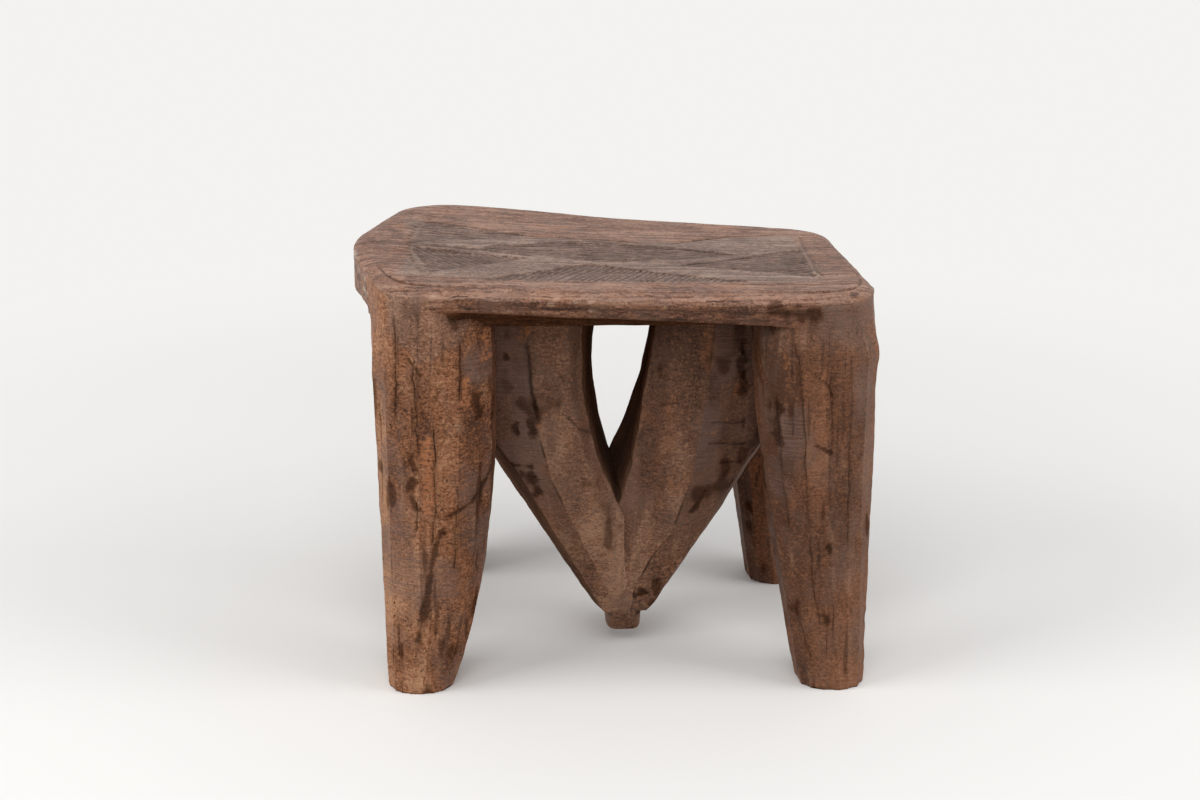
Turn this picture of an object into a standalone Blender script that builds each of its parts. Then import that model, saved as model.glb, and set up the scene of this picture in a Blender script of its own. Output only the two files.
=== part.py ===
"""Nupe stool: a thick seat on four hewn legs, with a V-shaped brace between them.

Metres, +Z up, +X to the right, -Y to the front. The origin is on the floor under the middle of the seat.
The real stool is carved from one block, so its members meet face to face across a hairline gap.
"""

import math

import bmesh
import bpy
import numpy as np

# Overall sizes, and the gap left where two members meet
STOOL_HEIGHT = 0.2935
SEAT_LENGTH = 0.363
SEAT_DEPTH = 0.277
SEAT_THICKNESS = 0.0275
JOIN_GAP = 0.0003

# Plan of the seat: how far each corner stands in from the end and from the edge, and its rounding
FRONT_LEFT_END_INSET = 0.030
FRONT_LEFT_EDGE_INSET = 0.011
FRONT_LEFT_ROUND = 0.024
FRONT_RIGHT_ROUND = 0.040
BACK_RIGHT_END_INSET = 0.006
BACK_RIGHT_EDGE_INSET = 0.047
BACK_RIGHT_ROUND = 0.032
BACK_LEFT_END_INSET = 0.044
BACK_LEFT_ROUND = 0.040
LEFT_BOW_PLACE = -0.008
LEFT_BOW_ROUND = 0.130
ARC_STEPS = 7

# Section of the seat
SHOULDER_WIDTH = 0.011
SHOULDER_DROP = 0.0065
UNDERCUT = 0.012
UNDERCUT_RUN = 0.016
LOWER_ARRIS = 0.0005
SEAT_TILT = 0.0043
SEAT_TWIST = 0.0072
SEAT_SAG = 0.003

# Legs: the block at the seat and the foot
LEFT_LEG_TOP_WIDTH = 0.084
RIGHT_LEG_TOP_WIDTH = 0.086
LEG_TOP_DEPTH = 0.076
LEG_FOOT_WIDTH = 0.047
LEG_FOOT_DEPTH = 0.048
LEG_SQUARENESS = 2.4
LEG_SIDES = 16
LEG_LEVELS = 9
FOOT_CHAMFER = 0.003

# Setting out of each leg: outer faces in from the seat's end and edge, how far the foot leans inwards along
# the length and the depth, and how late the inner faces draw in on the way down
FRONT_LEFT_LEG_END = 0.0160
FRONT_LEFT_LEG_EDGE = 0.009
FRONT_LEFT_LEAN_X = 0.0045
FRONT_LEFT_LEAN_Y = 0.0
FRONT_LEFT_NARROWING = 2.8
FRONT_RIGHT_LEG_END = -0.002
FRONT_RIGHT_LEG_EDGE = -0.0015
FRONT_RIGHT_LEAN_X = 0.003
FRONT_RIGHT_LEAN_Y = 0.0
FRONT_RIGHT_NARROWING = 1.5
BACK_LEFT_LEG_END = 0.036
BACK_LEFT_LEG_EDGE = 0.0125
BACK_LEFT_LEAN_X = -0.006
BACK_LEFT_LEAN_Y = -0.006
BACK_LEFT_NARROWING = 1.5
BACK_RIGHT_LEG_END = 0.0165
BACK_RIGHT_LEG_EDGE = 0.051
BACK_RIGHT_LEAN_X = -0.003
BACK_RIGHT_LEAN_Y = -0.014
BACK_RIGHT_NARROWING = 1.0

# V-shaped brace
BRACE_JOIN_X = 0.008
BRACE_MIDDLE_Y = -0.020
BRACE_TOP_DEPTH = 0.124
BRACE_TIP_DEPTH = 0.076
BRACE_TIP_LEFT = 0.016
BRACE_TIP_RIGHT = 0.026
BRACE_TIP_HEIGHT = 0.029
BRACE_FLARE = 0.65
BRACE_LEFT_END = 0.0315
BRACE_RIGHT_END = 0.0295
BRACE_CHAMFER = 0.009
BRACE_CHAMFER_DEPTH = 0.022
BRACE_CROWN = 0.005
CROTCH_HEIGHT = 0.117
SLOT_LEFT_WIDTH = 0.0270
SLOT_LEFT_BACK_WIDTH = 0.0160
SLOT_LEFT_CURVE = 3.1
SLOT_RIGHT_WIDTH = 0.0260
SLOT_RIGHT_BACK_WIDTH = 0.0350
SLOT_RIGHT_CURVE = 1.4
SLOT_LEVELS = 9
TIP_LEVELS = 4

# Stub under the tip of the brace
STUB_OFFSET_X = 0.0045
STUB_OFFSET_Y = -0.004
STUB_WIDTH = 0.0255
STUB_DEPTH = 0.056
STUB_LENGTH = 0.0180
STUB_SQUARENESS = 2.4
STUB_CHAMFER = 0.003
STUB_SIDES = 24

UNDERSIDE = STOOL_HEIGHT - SEAT_THICKNESS
HALF_LENGTH = SEAT_LENGTH / 2
HALF_DEPTH = SEAT_DEPTH / 2


def clear_scene():
    """Removes whatever the scene starts with."""
    for item in list(bpy.data.objects):
        bpy.data.objects.remove(item, do_unlink=True)


def wood(name, colour, roughness):
    """One plain wood finish."""
    material = bpy.data.materials.new(name)
    material.use_nodes = True
    shader = material.node_tree.nodes["Principled BSDF"]
    shader.inputs["Base Color"].default_value = (*colour, 1.0)
    shader.inputs["Roughness"].default_value = roughness
    shader.inputs["Metallic"].default_value = 0.0
    return material


def seat_wood():
    """The seat, a little greyer and smoother from use."""
    return wood("seat_wood", (0.088, 0.042, 0.030), 0.55)


def leg_wood(name):
    """The legs, a warm reddish brown."""
    return wood(name + "_wood", (0.105, 0.045, 0.029), 0.60)


def brace_wood(name):
    """The brace, darker where hands and cloth have not rubbed it."""
    return wood(name + "_wood", (0.072, 0.035, 0.026), 0.65)


def skin(name, rings, material, hub=None):
    """Joins rings of points, lowest first and each anticlockwise from above, into one closed solid."""
    work = bmesh.new()
    rows = [[work.verts.new(point) for point in ring] for ring in rings]
    for low, high in zip(rows, rows[1:]):
        for i in range(len(low)):
            k = (i + 1) % len(low)
            work.faces.new((low[i], low[k], high[k], high[i]))
    work.faces.new(rows[0][::-1])
    close_top(work, rows[-1], hub)
    mesh = bpy.data.meshes.new(name)
    work.to_mesh(mesh)
    work.free()
    mesh.materials.append(material)
    mesh.shade_smooth()
    mesh.set_sharp_from_angle(angle=math.radians(30))
    solid = bpy.data.objects.new(name, mesh)
    bpy.context.scene.collection.objects.link(solid)
    return solid


def close_top(work, row, hub):
    """Closes the top with one flat face, or with a fan of triangles about a hub point."""
    if hub is None:
        work.faces.new(row)
        return
    middle = work.verts.new(hub)
    for i in range(len(row)):
        work.faces.new((row[i], row[(i + 1) % len(row)], middle))


def at_height(plan, height):
    """A ring of 3-D points from plan points and one height, or one height for each point."""
    return np.column_stack([plan, np.broadcast_to(height, len(plan))])


def superellipse(centre, half_width, half_depth, squareness, sides):
    """Plan of a rounded box: an ellipse squared off by an exponent above 2."""
    angle = (np.arange(sides) + 0.5) * 2 * math.pi / sides
    cos, sin = np.cos(angle), np.sin(angle)
    x = half_width * np.sign(cos) * np.abs(cos) ** (2 / squareness)
    y = half_depth * np.sign(sin) * np.abs(sin) ** (2 / squareness)
    return np.column_stack([x, y]) + centre


def rounded_corner(before, corner, after, radius):
    """An arc of the given radius that touches both sides of a corner."""
    arrive = (corner - before) / np.linalg.norm(corner - before)
    leave = (after - corner) / np.linalg.norm(after - corner)
    turn = math.acos(float(np.clip(arrive @ leave, -1, 1)))
    start = corner - arrive * radius * math.tan(turn / 2)
    inward = np.array([-arrive[1], arrive[0]])
    angle = np.linspace(0, turn, ARC_STEPS + 1)[:, None]
    return start + radius * (np.sin(angle) * arrive + (1 - np.cos(angle)) * inward)


def seat_plan():
    """Outline of the seat, anticlockwise: four rounded corners and a bowed left end."""
    corners = [
        (-HALF_LENGTH + FRONT_LEFT_END_INSET, -HALF_DEPTH + FRONT_LEFT_EDGE_INSET, FRONT_LEFT_ROUND),
        (HALF_LENGTH, -HALF_DEPTH, FRONT_RIGHT_ROUND),
        (HALF_LENGTH - BACK_RIGHT_END_INSET, HALF_DEPTH - BACK_RIGHT_EDGE_INSET, BACK_RIGHT_ROUND),
        (-HALF_LENGTH + BACK_LEFT_END_INSET, HALF_DEPTH, BACK_LEFT_ROUND),
        (-HALF_LENGTH, LEFT_BOW_PLACE, LEFT_BOW_ROUND),
    ]
    points = [np.array(corner[:2]) for corner in corners]
    arcs = []
    for i, corner in enumerate(corners):
        arcs.append(rounded_corner(points[i - 1], points[i], points[(i + 1) % len(points)], corner[2]))
    outline = np.concatenate(arcs)
    low, high = outline.min(axis=0), outline.max(axis=0)
    return (outline - (low + high) / 2) * np.array([SEAT_LENGTH, SEAT_DEPTH]) / (high - low)


def inset(plan, distance):
    """The outline moved inwards along its own normals."""
    along = np.roll(plan, -1, axis=0) - np.roll(plan, 1, axis=0)
    along = along / np.linalg.norm(along, axis=1)[:, None]
    inward = np.column_stack([-along[:, 1], along[:, 0]])
    return plan + inward * np.broadcast_to(distance, len(plan))[:, None]


def seat_top(plan):
    """Height of the seat: lower to the right, the more so towards the back, and hollow along its length."""
    x = plan[:, 0] / HALF_LENGTH
    y = plan[:, 1] / HALF_DEPTH
    tilt = (SEAT_TILT + SEAT_TWIST * (y + 1) / 2) * x
    return STOOL_HEIGHT - tilt - SEAT_SAG * np.clip(1 - x**2, 0, 1)


LEGS = {
    "leg_front_left": {
        "side": -1,
        "face": -1,
        "top_width": LEFT_LEG_TOP_WIDTH,
        "end_inset": FRONT_LEFT_LEG_END,
        "edge_inset": FRONT_LEFT_LEG_EDGE,
        "lean_x": FRONT_LEFT_LEAN_X,
        "lean_y": FRONT_LEFT_LEAN_Y,
        "narrowing": FRONT_LEFT_NARROWING,
    },
    "leg_front_right": {
        "side": 1,
        "face": -1,
        "top_width": RIGHT_LEG_TOP_WIDTH,
        "end_inset": FRONT_RIGHT_LEG_END,
        "edge_inset": FRONT_RIGHT_LEG_EDGE,
        "lean_x": FRONT_RIGHT_LEAN_X,
        "lean_y": FRONT_RIGHT_LEAN_Y,
        "narrowing": FRONT_RIGHT_NARROWING,
    },
    "leg_back_left": {
        "side": -1,
        "face": 1,
        "top_width": LEFT_LEG_TOP_WIDTH,
        "end_inset": BACK_LEFT_LEG_END,
        "edge_inset": BACK_LEFT_LEG_EDGE,
        "lean_x": BACK_LEFT_LEAN_X,
        "lean_y": BACK_LEFT_LEAN_Y,
        "narrowing": BACK_LEFT_NARROWING,
    },
    "leg_back_right": {
        "side": 1,
        "face": 1,
        "top_width": RIGHT_LEG_TOP_WIDTH,
        "end_inset": BACK_RIGHT_LEG_END,
        "edge_inset": BACK_RIGHT_LEG_EDGE,
        "lean_x": BACK_RIGHT_LEAN_X,
        "lean_y": BACK_RIGHT_LEAN_Y,
        "narrowing": BACK_RIGHT_NARROWING,
    },
}


def leg_section(name, height):
    """Middle and half sizes of a leg at one height: outer faces nearly upright, inner faces drawn in."""
    leg = LEGS[name]
    down = min(max(1 - height / UNDERSIDE, 0), 1)
    drawn_in = down ** leg["narrowing"]
    width = leg["top_width"] - (leg["top_width"] - LEG_FOOT_WIDTH) * drawn_in
    depth = LEG_TOP_DEPTH - (LEG_TOP_DEPTH - LEG_FOOT_DEPTH) * drawn_in
    outer_x = HALF_LENGTH - leg["end_inset"] - leg["lean_x"] * down
    outer_y = HALF_DEPTH - leg["edge_inset"] - leg["lean_y"] * down
    centre = np.array([leg["side"] * (outer_x - width / 2), leg["face"] * (outer_y - depth / 2)])
    return centre, width / 2, depth / 2


def leg_ring(name, height, grow):
    """One ring round a leg, larger than the leg by grow on every side."""
    centre, half_width, half_depth = leg_section(name, height)
    plan = superellipse(centre, half_width + grow, half_depth + grow, LEG_SQUARENESS, LEG_SIDES)
    return at_height(plan, height)


def leg_levels():
    """Heights of the rings of a leg, from above the foot's chamfer to the underside of the seat."""
    return np.linspace(FOOT_CHAMFER, UNDERSIDE - JOIN_GAP, LEG_LEVELS)


def make_leg(name):
    """A hewn leg with a chamfered foot."""
    rings = [leg_ring(name, height, 0.0) for height in leg_levels()]
    foot = leg_ring(name, 0.0, -FOOT_CHAMFER)
    return skin(name, [foot, *rings], leg_wood(name))


def make_leg_clearance(name):
    """The leg grown by the join gap and run past its ends, to cut the brace clear of it."""
    rings = [leg_ring(name, height, JOIN_GAP) for height in leg_levels()]
    above = rings[-1] + np.array([0.0, 0.0, SEAT_THICKNESS])
    cutter = skin(name + "_clearance", [*rings, above], leg_wood(name + "_clearance"))
    cutter.hide_render = True
    cutter.display_type = "WIRE"
    return cutter


def clear_of_legs(plan):
    """How far the lower rim is undercut at each point: none over a leg, all of it between legs."""
    nearest = np.full(len(plan), np.inf)
    for name in LEGS:
        centre, half_width, half_depth = leg_section(name, UNDERSIDE)
        outside = np.abs(plan - centre) - np.array([half_width, half_depth])
        nearest = np.minimum(nearest, np.linalg.norm(np.clip(outside, 0, None), axis=1))
    share = np.clip(nearest / UNDERCUT_RUN, 0, 1)
    return UNDERCUT * share * share * (3 - 2 * share)


def make_seat():
    """The seat: flat underneath, undercut between the legs, upright rim, rounded shoulder, tilted top."""
    plan = seat_plan()
    cut = clear_of_legs(plan)
    rings = [
        at_height(inset(plan, cut), UNDERSIDE),
        at_height(plan, UNDERSIDE + cut + LOWER_ARRIS),
    ]
    for turn in np.linspace(0, math.pi / 2, 4):
        ring = inset(plan, SHOULDER_WIDTH * (1 - math.cos(turn)))
        drop = SHOULDER_DROP * (1 - math.sin(turn))
        rings.append(at_height(ring, seat_top(ring) - drop))
    field = rings[-1][:, :2]
    for share in (0.75, 0.5, 0.25):
        ring = field * share
        rings.append(at_height(ring, seat_top(ring)))
    hub = (0.0, 0.0, float(seat_top(np.zeros((1, 2)))[0]))
    return skin("seat_slab", rings, seat_wood(), hub)


def arm_levels():
    """Heights of the rings of a brace arm, closer together along the lower slot."""
    top = UNDERSIDE - JOIN_GAP
    below = np.linspace(BRACE_TIP_HEIGHT, CROTCH_HEIGHT, TIP_LEVELS)
    slot = CROTCH_HEIGHT + (top - CROTCH_HEIGHT) * np.linspace(0, 1, SLOT_LEVELS) ** 1.3
    return np.concatenate([below, slot[1:]])


def slot_opening(height, width, curve):
    """How far one side of the slot stands from the join: none at the crotch, widening upwards."""
    rise = min(max((height - CROTCH_HEIGHT) / (UNDERSIDE - CROTCH_HEIGHT), 0), 1)
    return JOIN_GAP / 2 + width * (1 - (1 - rise) ** curve)


ARMS = {
    "brace_arm_left": {
        "side": -1,
        "tip": BRACE_TIP_LEFT,
        "reach": HALF_LENGTH - BRACE_LEFT_END + BRACE_JOIN_X,
        "slot_front": SLOT_LEFT_WIDTH,
        "slot_back": SLOT_LEFT_BACK_WIDTH,
        "slot_curve": SLOT_LEFT_CURVE,
        "legs": ("leg_front_left", "leg_back_left"),
    },
    "brace_arm_right": {
        "side": 1,
        "tip": BRACE_TIP_RIGHT,
        "reach": HALF_LENGTH - BRACE_RIGHT_END - BRACE_JOIN_X,
        "slot_front": SLOT_RIGHT_WIDTH,
        "slot_back": SLOT_RIGHT_BACK_WIDTH,
        "slot_curve": SLOT_RIGHT_CURVE,
        "legs": ("leg_front_right", "leg_back_right"),
    },
}


def arm_ring(arm, height):
    """Section of one arm, measured from the join: crowned front and back, lower outer edges chamfered."""
    rise = height - BRACE_TIP_HEIGHT
    share = rise / (UNDERSIDE - BRACE_TIP_HEIGHT)
    half_depth = (BRACE_TIP_DEPTH + (BRACE_TOP_DEPTH - BRACE_TIP_DEPTH) * share) / 2
    outer = min(arm["tip"] + BRACE_FLARE * rise, arm["reach"])
    chamfer = min(BRACE_CHAMFER, outer / 3)
    inner_front = slot_opening(height, arm["slot_front"], arm["slot_curve"])
    inner_back = slot_opening(height, arm["slot_back"], arm["slot_curve"])
    plan = np.array([
        (inner_front, -half_depth),
        ((inner_front + outer) / 2, -half_depth - BRACE_CROWN),
        (outer - chamfer, -half_depth),
        (outer, BRACE_CHAMFER_DEPTH - half_depth),
        (outer, half_depth - chamfer),
        (outer - chamfer, half_depth),
        ((inner_back + outer) / 2, half_depth + BRACE_CROWN),
        (inner_back, half_depth),
    ])
    plan = plan[:: arm["side"]] * np.array([arm["side"], 1.0])
    return at_height(plan + np.array([BRACE_JOIN_X, BRACE_MIDDLE_Y]), height)


def make_arm(name):
    """One arm of the V, cut clear of the legs that it runs between."""
    arm = ARMS[name]
    rings = [arm_ring(arm, height) for height in arm_levels()]
    solid = skin(name, rings, brace_wood(name))
    for leg in arm["legs"]:
        cut = solid.modifiers.new("clear_of_" + leg, "BOOLEAN")
        cut.operation = "DIFFERENCE"
        cut.solver = "EXACT"
        cut.object = make_leg_clearance(leg)
    return solid


def make_stub():
    """The stub under the tip: a rounded plug with a chamfered lower edge."""
    top = BRACE_TIP_HEIGHT - JOIN_GAP
    bottom = BRACE_TIP_HEIGHT - STUB_LENGTH
    centre = np.array([BRACE_JOIN_X + STUB_OFFSET_X, BRACE_MIDDLE_Y + STUB_OFFSET_Y])
    rings = []
    for height, less in ((bottom, STUB_CHAMFER), (bottom + STUB_CHAMFER, 0.0), (top, 0.0)):
        half_width = STUB_WIDTH / 2 - less
        half_depth = STUB_DEPTH / 2 - less
        plan = superellipse(centre, half_width, half_depth, STUB_SQUARENESS, STUB_SIDES)
        rings.append(at_height(plan, height))
    return skin("brace_stub", rings, brace_wood("brace_stub"))


clear_scene()
make_seat()
for leg_name in LEGS:
    make_leg(leg_name)
for arm_name in ARMS:
    make_arm(arm_name)
make_stub()
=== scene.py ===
# %% [markdown]
# # A stool cut from one block
# The real stool was hewn with an adze and a knife from a single block of dark hardwood: a thick seat,
# four tapering legs, and a V-shaped brace with a slot between its two arms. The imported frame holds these
# members as plain solids. This lesson gives each of them its carved skin: facets, arrises, cracks, the
# cut pattern on the seat, and a finish that is worn on the edges and dark in the hollows.

import math

import bpy
import numpy as np
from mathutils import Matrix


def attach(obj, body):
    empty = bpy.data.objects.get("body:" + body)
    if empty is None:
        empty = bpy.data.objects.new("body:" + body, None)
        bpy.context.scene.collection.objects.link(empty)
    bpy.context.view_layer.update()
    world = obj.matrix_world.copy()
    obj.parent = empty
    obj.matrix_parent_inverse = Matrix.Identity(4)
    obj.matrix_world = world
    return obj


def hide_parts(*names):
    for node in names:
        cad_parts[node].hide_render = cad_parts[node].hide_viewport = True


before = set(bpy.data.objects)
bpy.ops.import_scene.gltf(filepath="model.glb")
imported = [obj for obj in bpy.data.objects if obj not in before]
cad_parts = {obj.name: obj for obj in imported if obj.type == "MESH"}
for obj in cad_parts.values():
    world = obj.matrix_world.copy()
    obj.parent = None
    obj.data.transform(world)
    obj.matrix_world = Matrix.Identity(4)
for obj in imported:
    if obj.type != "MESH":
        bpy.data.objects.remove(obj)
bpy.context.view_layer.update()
print("nodes:", ", ".join(sorted(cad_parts)))

# %% [markdown]
# ## Roughness that repeats from run to run
# Hand-hewn wood is never quite flat. Blender has noise textures for materials, but the meshes here are
# worked out as arrays, so they need a noise of their own. Value noise is the simplest: every cell of a
# lattice gets a fixed random number from its own coordinates, and a point takes a smooth mixture of the
# eight corners round it. A size with three numbers stretches it, which is how grain is made.

# %% Noise on arrays of points
MM = 0.001


def lattice(cell, seed):
    """A fixed value from -1 to 1 for each whole-number cell, scrambled from its three coordinates."""
    n = cell[..., 0] * 374761393 + cell[..., 1] * 668265263 + cell[..., 2] * 1440662683 + seed * 974711
    n = (n ^ (n >> 13)) * 1274126177
    n = n ^ (n >> 16)
    return (n & 65535) / 32767.5 - 1.0


def noise(points, size, seed):
    """Value noise: the eight lattice values round a point, mixed by smooth weights along each axis."""
    place = points / np.asarray(size, float)
    cell = np.floor(place).astype(np.int64)
    far = place - cell
    far = far * far * (3 - 2 * far)
    total = np.zeros(points.shape[:-1])
    for corner in np.ndindex(2, 2, 2):
        weight = np.prod(np.where(corner, far, 1 - far), axis=-1)
        total = total + weight * lattice(cell + np.array(corner), seed)
    return total


def rough(points, size, seed, octaves=3):
    """A sum of noises, each half the size and half the strength of the one before."""
    size = np.asarray(size, float)
    return sum(noise(points, size / 2**k, seed + k) / 2**k for k in range(octaves))


def ease(low, high, value):
    """Smooth step: 0 below low, 1 above high, and an S-curve between."""
    share = np.clip((value - low) / (high - low), 0, 1)
    return share * share * (3 - 2 * share)


def bell(distance, width):
    """1 at no distance, falling off to both sides: e to the power of minus (distance over width) squared."""
    return np.exp(-((distance / width) ** 2))


sample = rough(np.random.default_rng(1).uniform(-1, 1, (4000, 3)), 0.05, 3)
print("noise runs from", round(float(sample.min()), 2), "to", round(float(sample.max()), 2))

# %% [markdown]
# ## From a grid of points to a piece
# Every piece below is a surface: a grid of points whose rows run along the member and whose columns run
# round it. The same few steps turn any such grid into a mesh, so they are written once. Numbers worked
# out for each point, such as how deep in a groove it lies, are stored as attributes, and the finishes
# read them later.


# %% Mesh helpers
def quads_of(index, closed):
    """Faces between neighbouring rows and columns; closed also joins the last column to the first."""
    if closed:
        index = np.concatenate([index, index[:, :1]], axis=1)
    low, high = index[:-1], index[1:]
    return np.stack([low[:, :-1], low[:, 1:], high[:, 1:], high[:, :-1]], axis=-1).reshape(-1, 4)


def tube_faces(shape):
    """Faces of a tube with so many rows and columns, and one many-cornered cap at each end."""
    index = np.arange(shape[0] * shape[1]).reshape(shape)
    return quads_of(index, True).tolist() + [index[0, ::-1].tolist(), index[-1].tolist()]


def along_sides(corners, counts):
    """Points along the sides of a polygon in each row, with their side and their share of that side."""
    side = np.repeat(np.arange(len(counts)), counts)
    share = np.concatenate([np.arange(count) / count for count in counts])[None, :]
    following = np.roll(corners, -1, axis=1)
    plan = corners[:, side] * (1 - share[..., None]) + following[:, side] * share[..., None]
    return plan, side, share


def normals_of(grid):
    """Unit normals of a closed grid: the cross product of its slopes along columns and rows."""
    along = np.roll(grid, -1, axis=1) - np.roll(grid, 1, axis=1)
    up = np.gradient(grid, axis=0)
    normal = np.cross(along, up)
    return normal / np.maximum(np.linalg.norm(normal, axis=-1, keepdims=True), 1e-12)


def make_piece(node, points, faces, finish, marks):
    """One carved member: the mesh, its marks as point attributes, its finish, and the node it stands for."""
    mesh = bpy.data.meshes.new(node + "_carved")
    mesh.from_pydata(points.reshape(-1, 3), [], faces)
    for mark, values in marks.items():
        layer = mesh.attributes.new(mark, "FLOAT", "POINT")
        layer.data.foreach_set("value", values.astype(np.float32).ravel())
    mesh.materials.append(finish)
    mesh.shade_smooth()
    obj = bpy.data.objects.new(node + "_carved", mesh)
    bpy.context.scene.collection.objects.link(obj)
    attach(obj, "root")
    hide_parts(node)
    mesh.calc_loop_triangles()
    print(obj.name, len(mesh.loop_triangles), "triangles")
    return obj


# %% [markdown]
# ## The finishes
# The wood is a dark red-brown that has gone grey-brown with handling. Its look is a sum of noises of very
# different size: soft patches a few centimetres wide, streaks along the way the tool went, fine fibres that
# run along the length of the block, and specks smaller than two millimetres. A colour ramp turns the sum
# into wood colours. Slower noise pulls some places towards mauve or tan, and flecks are scattered over it.
# The point attributes come last: they pale the arrises, partly as a painted highlight, grey the carved panel
# and hatch its fields, comb lines into cut faces, rub some places orange, and darken stains and grooves.
# The same attributes also paint shade, dark and warm, into the slot, the undercut and other hollows.


# %% Node helpers
def add(tree, kind, inputs, **settings):
    """A node with its settings, its input values, and links from any socket given as an input."""
    item = tree.nodes.new(kind)
    for name, value in settings.items():
        setattr(item, name, value)
    for name, value in inputs.items():
        if isinstance(value, bpy.types.NodeSocket):
            tree.links.new(value, item.inputs[name])
        else:
            item.inputs[name].default_value = value
    return item


def grain(tree, where, scale, detail, distortion=0.0):
    """Noise stretched by a different scale along each axis, in cycles per metre."""
    moved = add(tree, "ShaderNodeMapping", {"Vector": where, "Scale": scale}).outputs[0]
    inputs = {"Vector": moved, "Scale": 1.0, "Detail": detail, "Roughness": 0.6, "Distortion": distortion}
    return add(tree, "ShaderNodeTexNoise", inputs).outputs["Fac"]


def maths(tree, operation, a, b=0.0, c=0.0):
    """One arithmetic step on one, two or three numbers."""
    return add(tree, "ShaderNodeMath", {0: a, 1: b, 2: c}, operation=operation).outputs[0]


def scaled(tree, value, factor, offset=0.0):
    """A value times a factor, plus an offset."""
    return maths(tree, "MULTIPLY_ADD", value, factor, offset)


def times(tree, a, b):
    """A product kept between 0 and 1."""
    return add(tree, "ShaderNodeMath", {0: a, 1: b}, operation="MULTIPLY", use_clamp=True).outputs[0]


def mixed(tree, share, a, b):
    """Colour a turning into colour b by a share from 0 to 1."""
    item = add(tree, "ShaderNodeMix", {0: share, 6: a, 7: b}, data_type="RGBA")
    return item.outputs[2]


def ramped(tree, value, stops):
    """A colour ramp through (position, colour) stops."""
    item = add(tree, "ShaderNodeValToRGB", {"Fac": value})
    ramp = item.color_ramp
    while len(ramp.elements) < len(stops):
        ramp.elements.new(0.5)
    for element, (position, colour) in zip(ramp.elements, stops):
        element.position = position
        element.color = (*colour, 1.0)
    return item.outputs[0]


def mark(tree, name):
    """The value of a point attribute."""
    return add(tree, "ShaderNodeAttribute", {}, attribute_name=name).outputs["Fac"]


# %% Patterns in the wood
WAVER_SCALE = 95.0
WAVER_REACH = (0.006, 0.006, 0.006)


def patterns(tree, streak, fleck):
    """The noises that a wood is made of; most are read at places shifted a little, so that they waver."""
    where = add(tree, "ShaderNodeTexCoord", {}).outputs["Object"]
    wave = add(tree, "ShaderNodeTexNoise", {"Vector": where, "Scale": WAVER_SCALE, "Detail": 3.0})
    inputs = {0: wave.outputs["Color"], 1: WAVER_REACH}
    shift = add(tree, "ShaderNodeVectorMath", inputs, operation="MULTIPLY").outputs[0]
    wavy = add(tree, "ShaderNodeVectorMath", {0: where, 1: shift}).outputs[0]
    return {
        "patches": grain(tree, where, (24, 24, 15), 4.0, 0.8),
        "streaks": grain(tree, wavy, streak, 4.0),
        "fibres": grain(tree, wavy, (210, 210, 720), 3.0),
        "specks": grain(tree, wavy, (620, 620, 620), 3.0),
        "hue": grain(tree, where, (42, 42, 24), 3.0, 0.5),
        "flecks": grain(tree, wavy, fleck, 2.0),
        "combed": grain(tree, where, (14, 14, 820), 2.0),
    }


# %% Colour of the bare wood
GREY_MAUVE = (0.168, 0.104, 0.081, 1.0)
WARM_TAN = (0.31, 0.127, 0.058, 1.0)
FLECK_WARM = (0.40, 0.185, 0.095, 1.0)
FLECK_DARK = (0.042, 0.018, 0.011, 1.0)


def bare_wood(tree, seen, weights, flecked, stops):
    """Value and colour: weighted noises and the tone in a ramp, pulled to mauve and tan, then flecked."""
    total = 0.0
    for name, weight in zip(("patches", "streaks", "fibres", "specks"), weights):
        total = scaled(tree, maths(tree, "SUBTRACT", seen[name], 0.5), weight, total)
    swing = scaled(tree, mark(tree, "smooth"), -0.6, 1.0)
    value = scaled(tree, total, swing, scaled(tree, mark(tree, "tone"), 0.42, 0.5))
    colour = ramped(tree, value, stops)
    colour = mixed(tree, times(tree, scaled(tree, seen["hue"], 5.0, -2.5), 0.62), colour, GREY_MAUVE)
    warm = times(tree, scaled(tree, seen["hue"], -5.0, 2.2), scaled(tree, seen["specks"], 2.0, -0.55))
    colour = mixed(tree, warm, colour, WARM_TAN)
    bright = times(tree, scaled(tree, seen["flecks"], 7.0, -4.0), scaled(tree, swing, flecked[0]))
    colour = mixed(tree, bright, colour, FLECK_WARM)
    dim = times(tree, scaled(tree, seen["flecks"], -8.0, 3.3), scaled(tree, swing, flecked[1]))
    return value, mixed(tree, dim, colour, FLECK_DARK)


# %% Carved and worn places, and painted light and shade
# Pale arrises: partly worn, partly a painted highlight on edges and ridges.
EDGE_PALE_AND_HIGHLIGHT = (0.34, 0.195, 0.125, 1.0)
LINE_DARK = (0.052, 0.030, 0.023, 1.0)
STRIA_GREY = (0.175, 0.112, 0.095, 1.0)
# The orange below is also a painted warm shade in the slot and the undercut, and the stain dark below is
# also a painted shade there and on the chamfers.
RUB_AND_WARM_SHADE_ORANGE = (0.40, 0.165, 0.078, 1.0)
STAIN_AND_SHADE_DARK = (0.034, 0.018, 0.013, 1.0)
# The groove dark below also paints shadow lines under small steps and at the top of the stub.
GROOVE_AND_SHADE_DARK = (0.018, 0.008, 0.005, 1.0)
SCRAPE_PALE = (0.50, 0.42, 0.34, 1.0)
GREYED_STOPS = (
    (0.10, (0.120, 0.075, 0.057)),
    (0.38, (0.190, 0.123, 0.095)),
    (0.60, (0.260, 0.174, 0.137)),
    (0.90, (0.370, 0.260, 0.208)),
)


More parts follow.
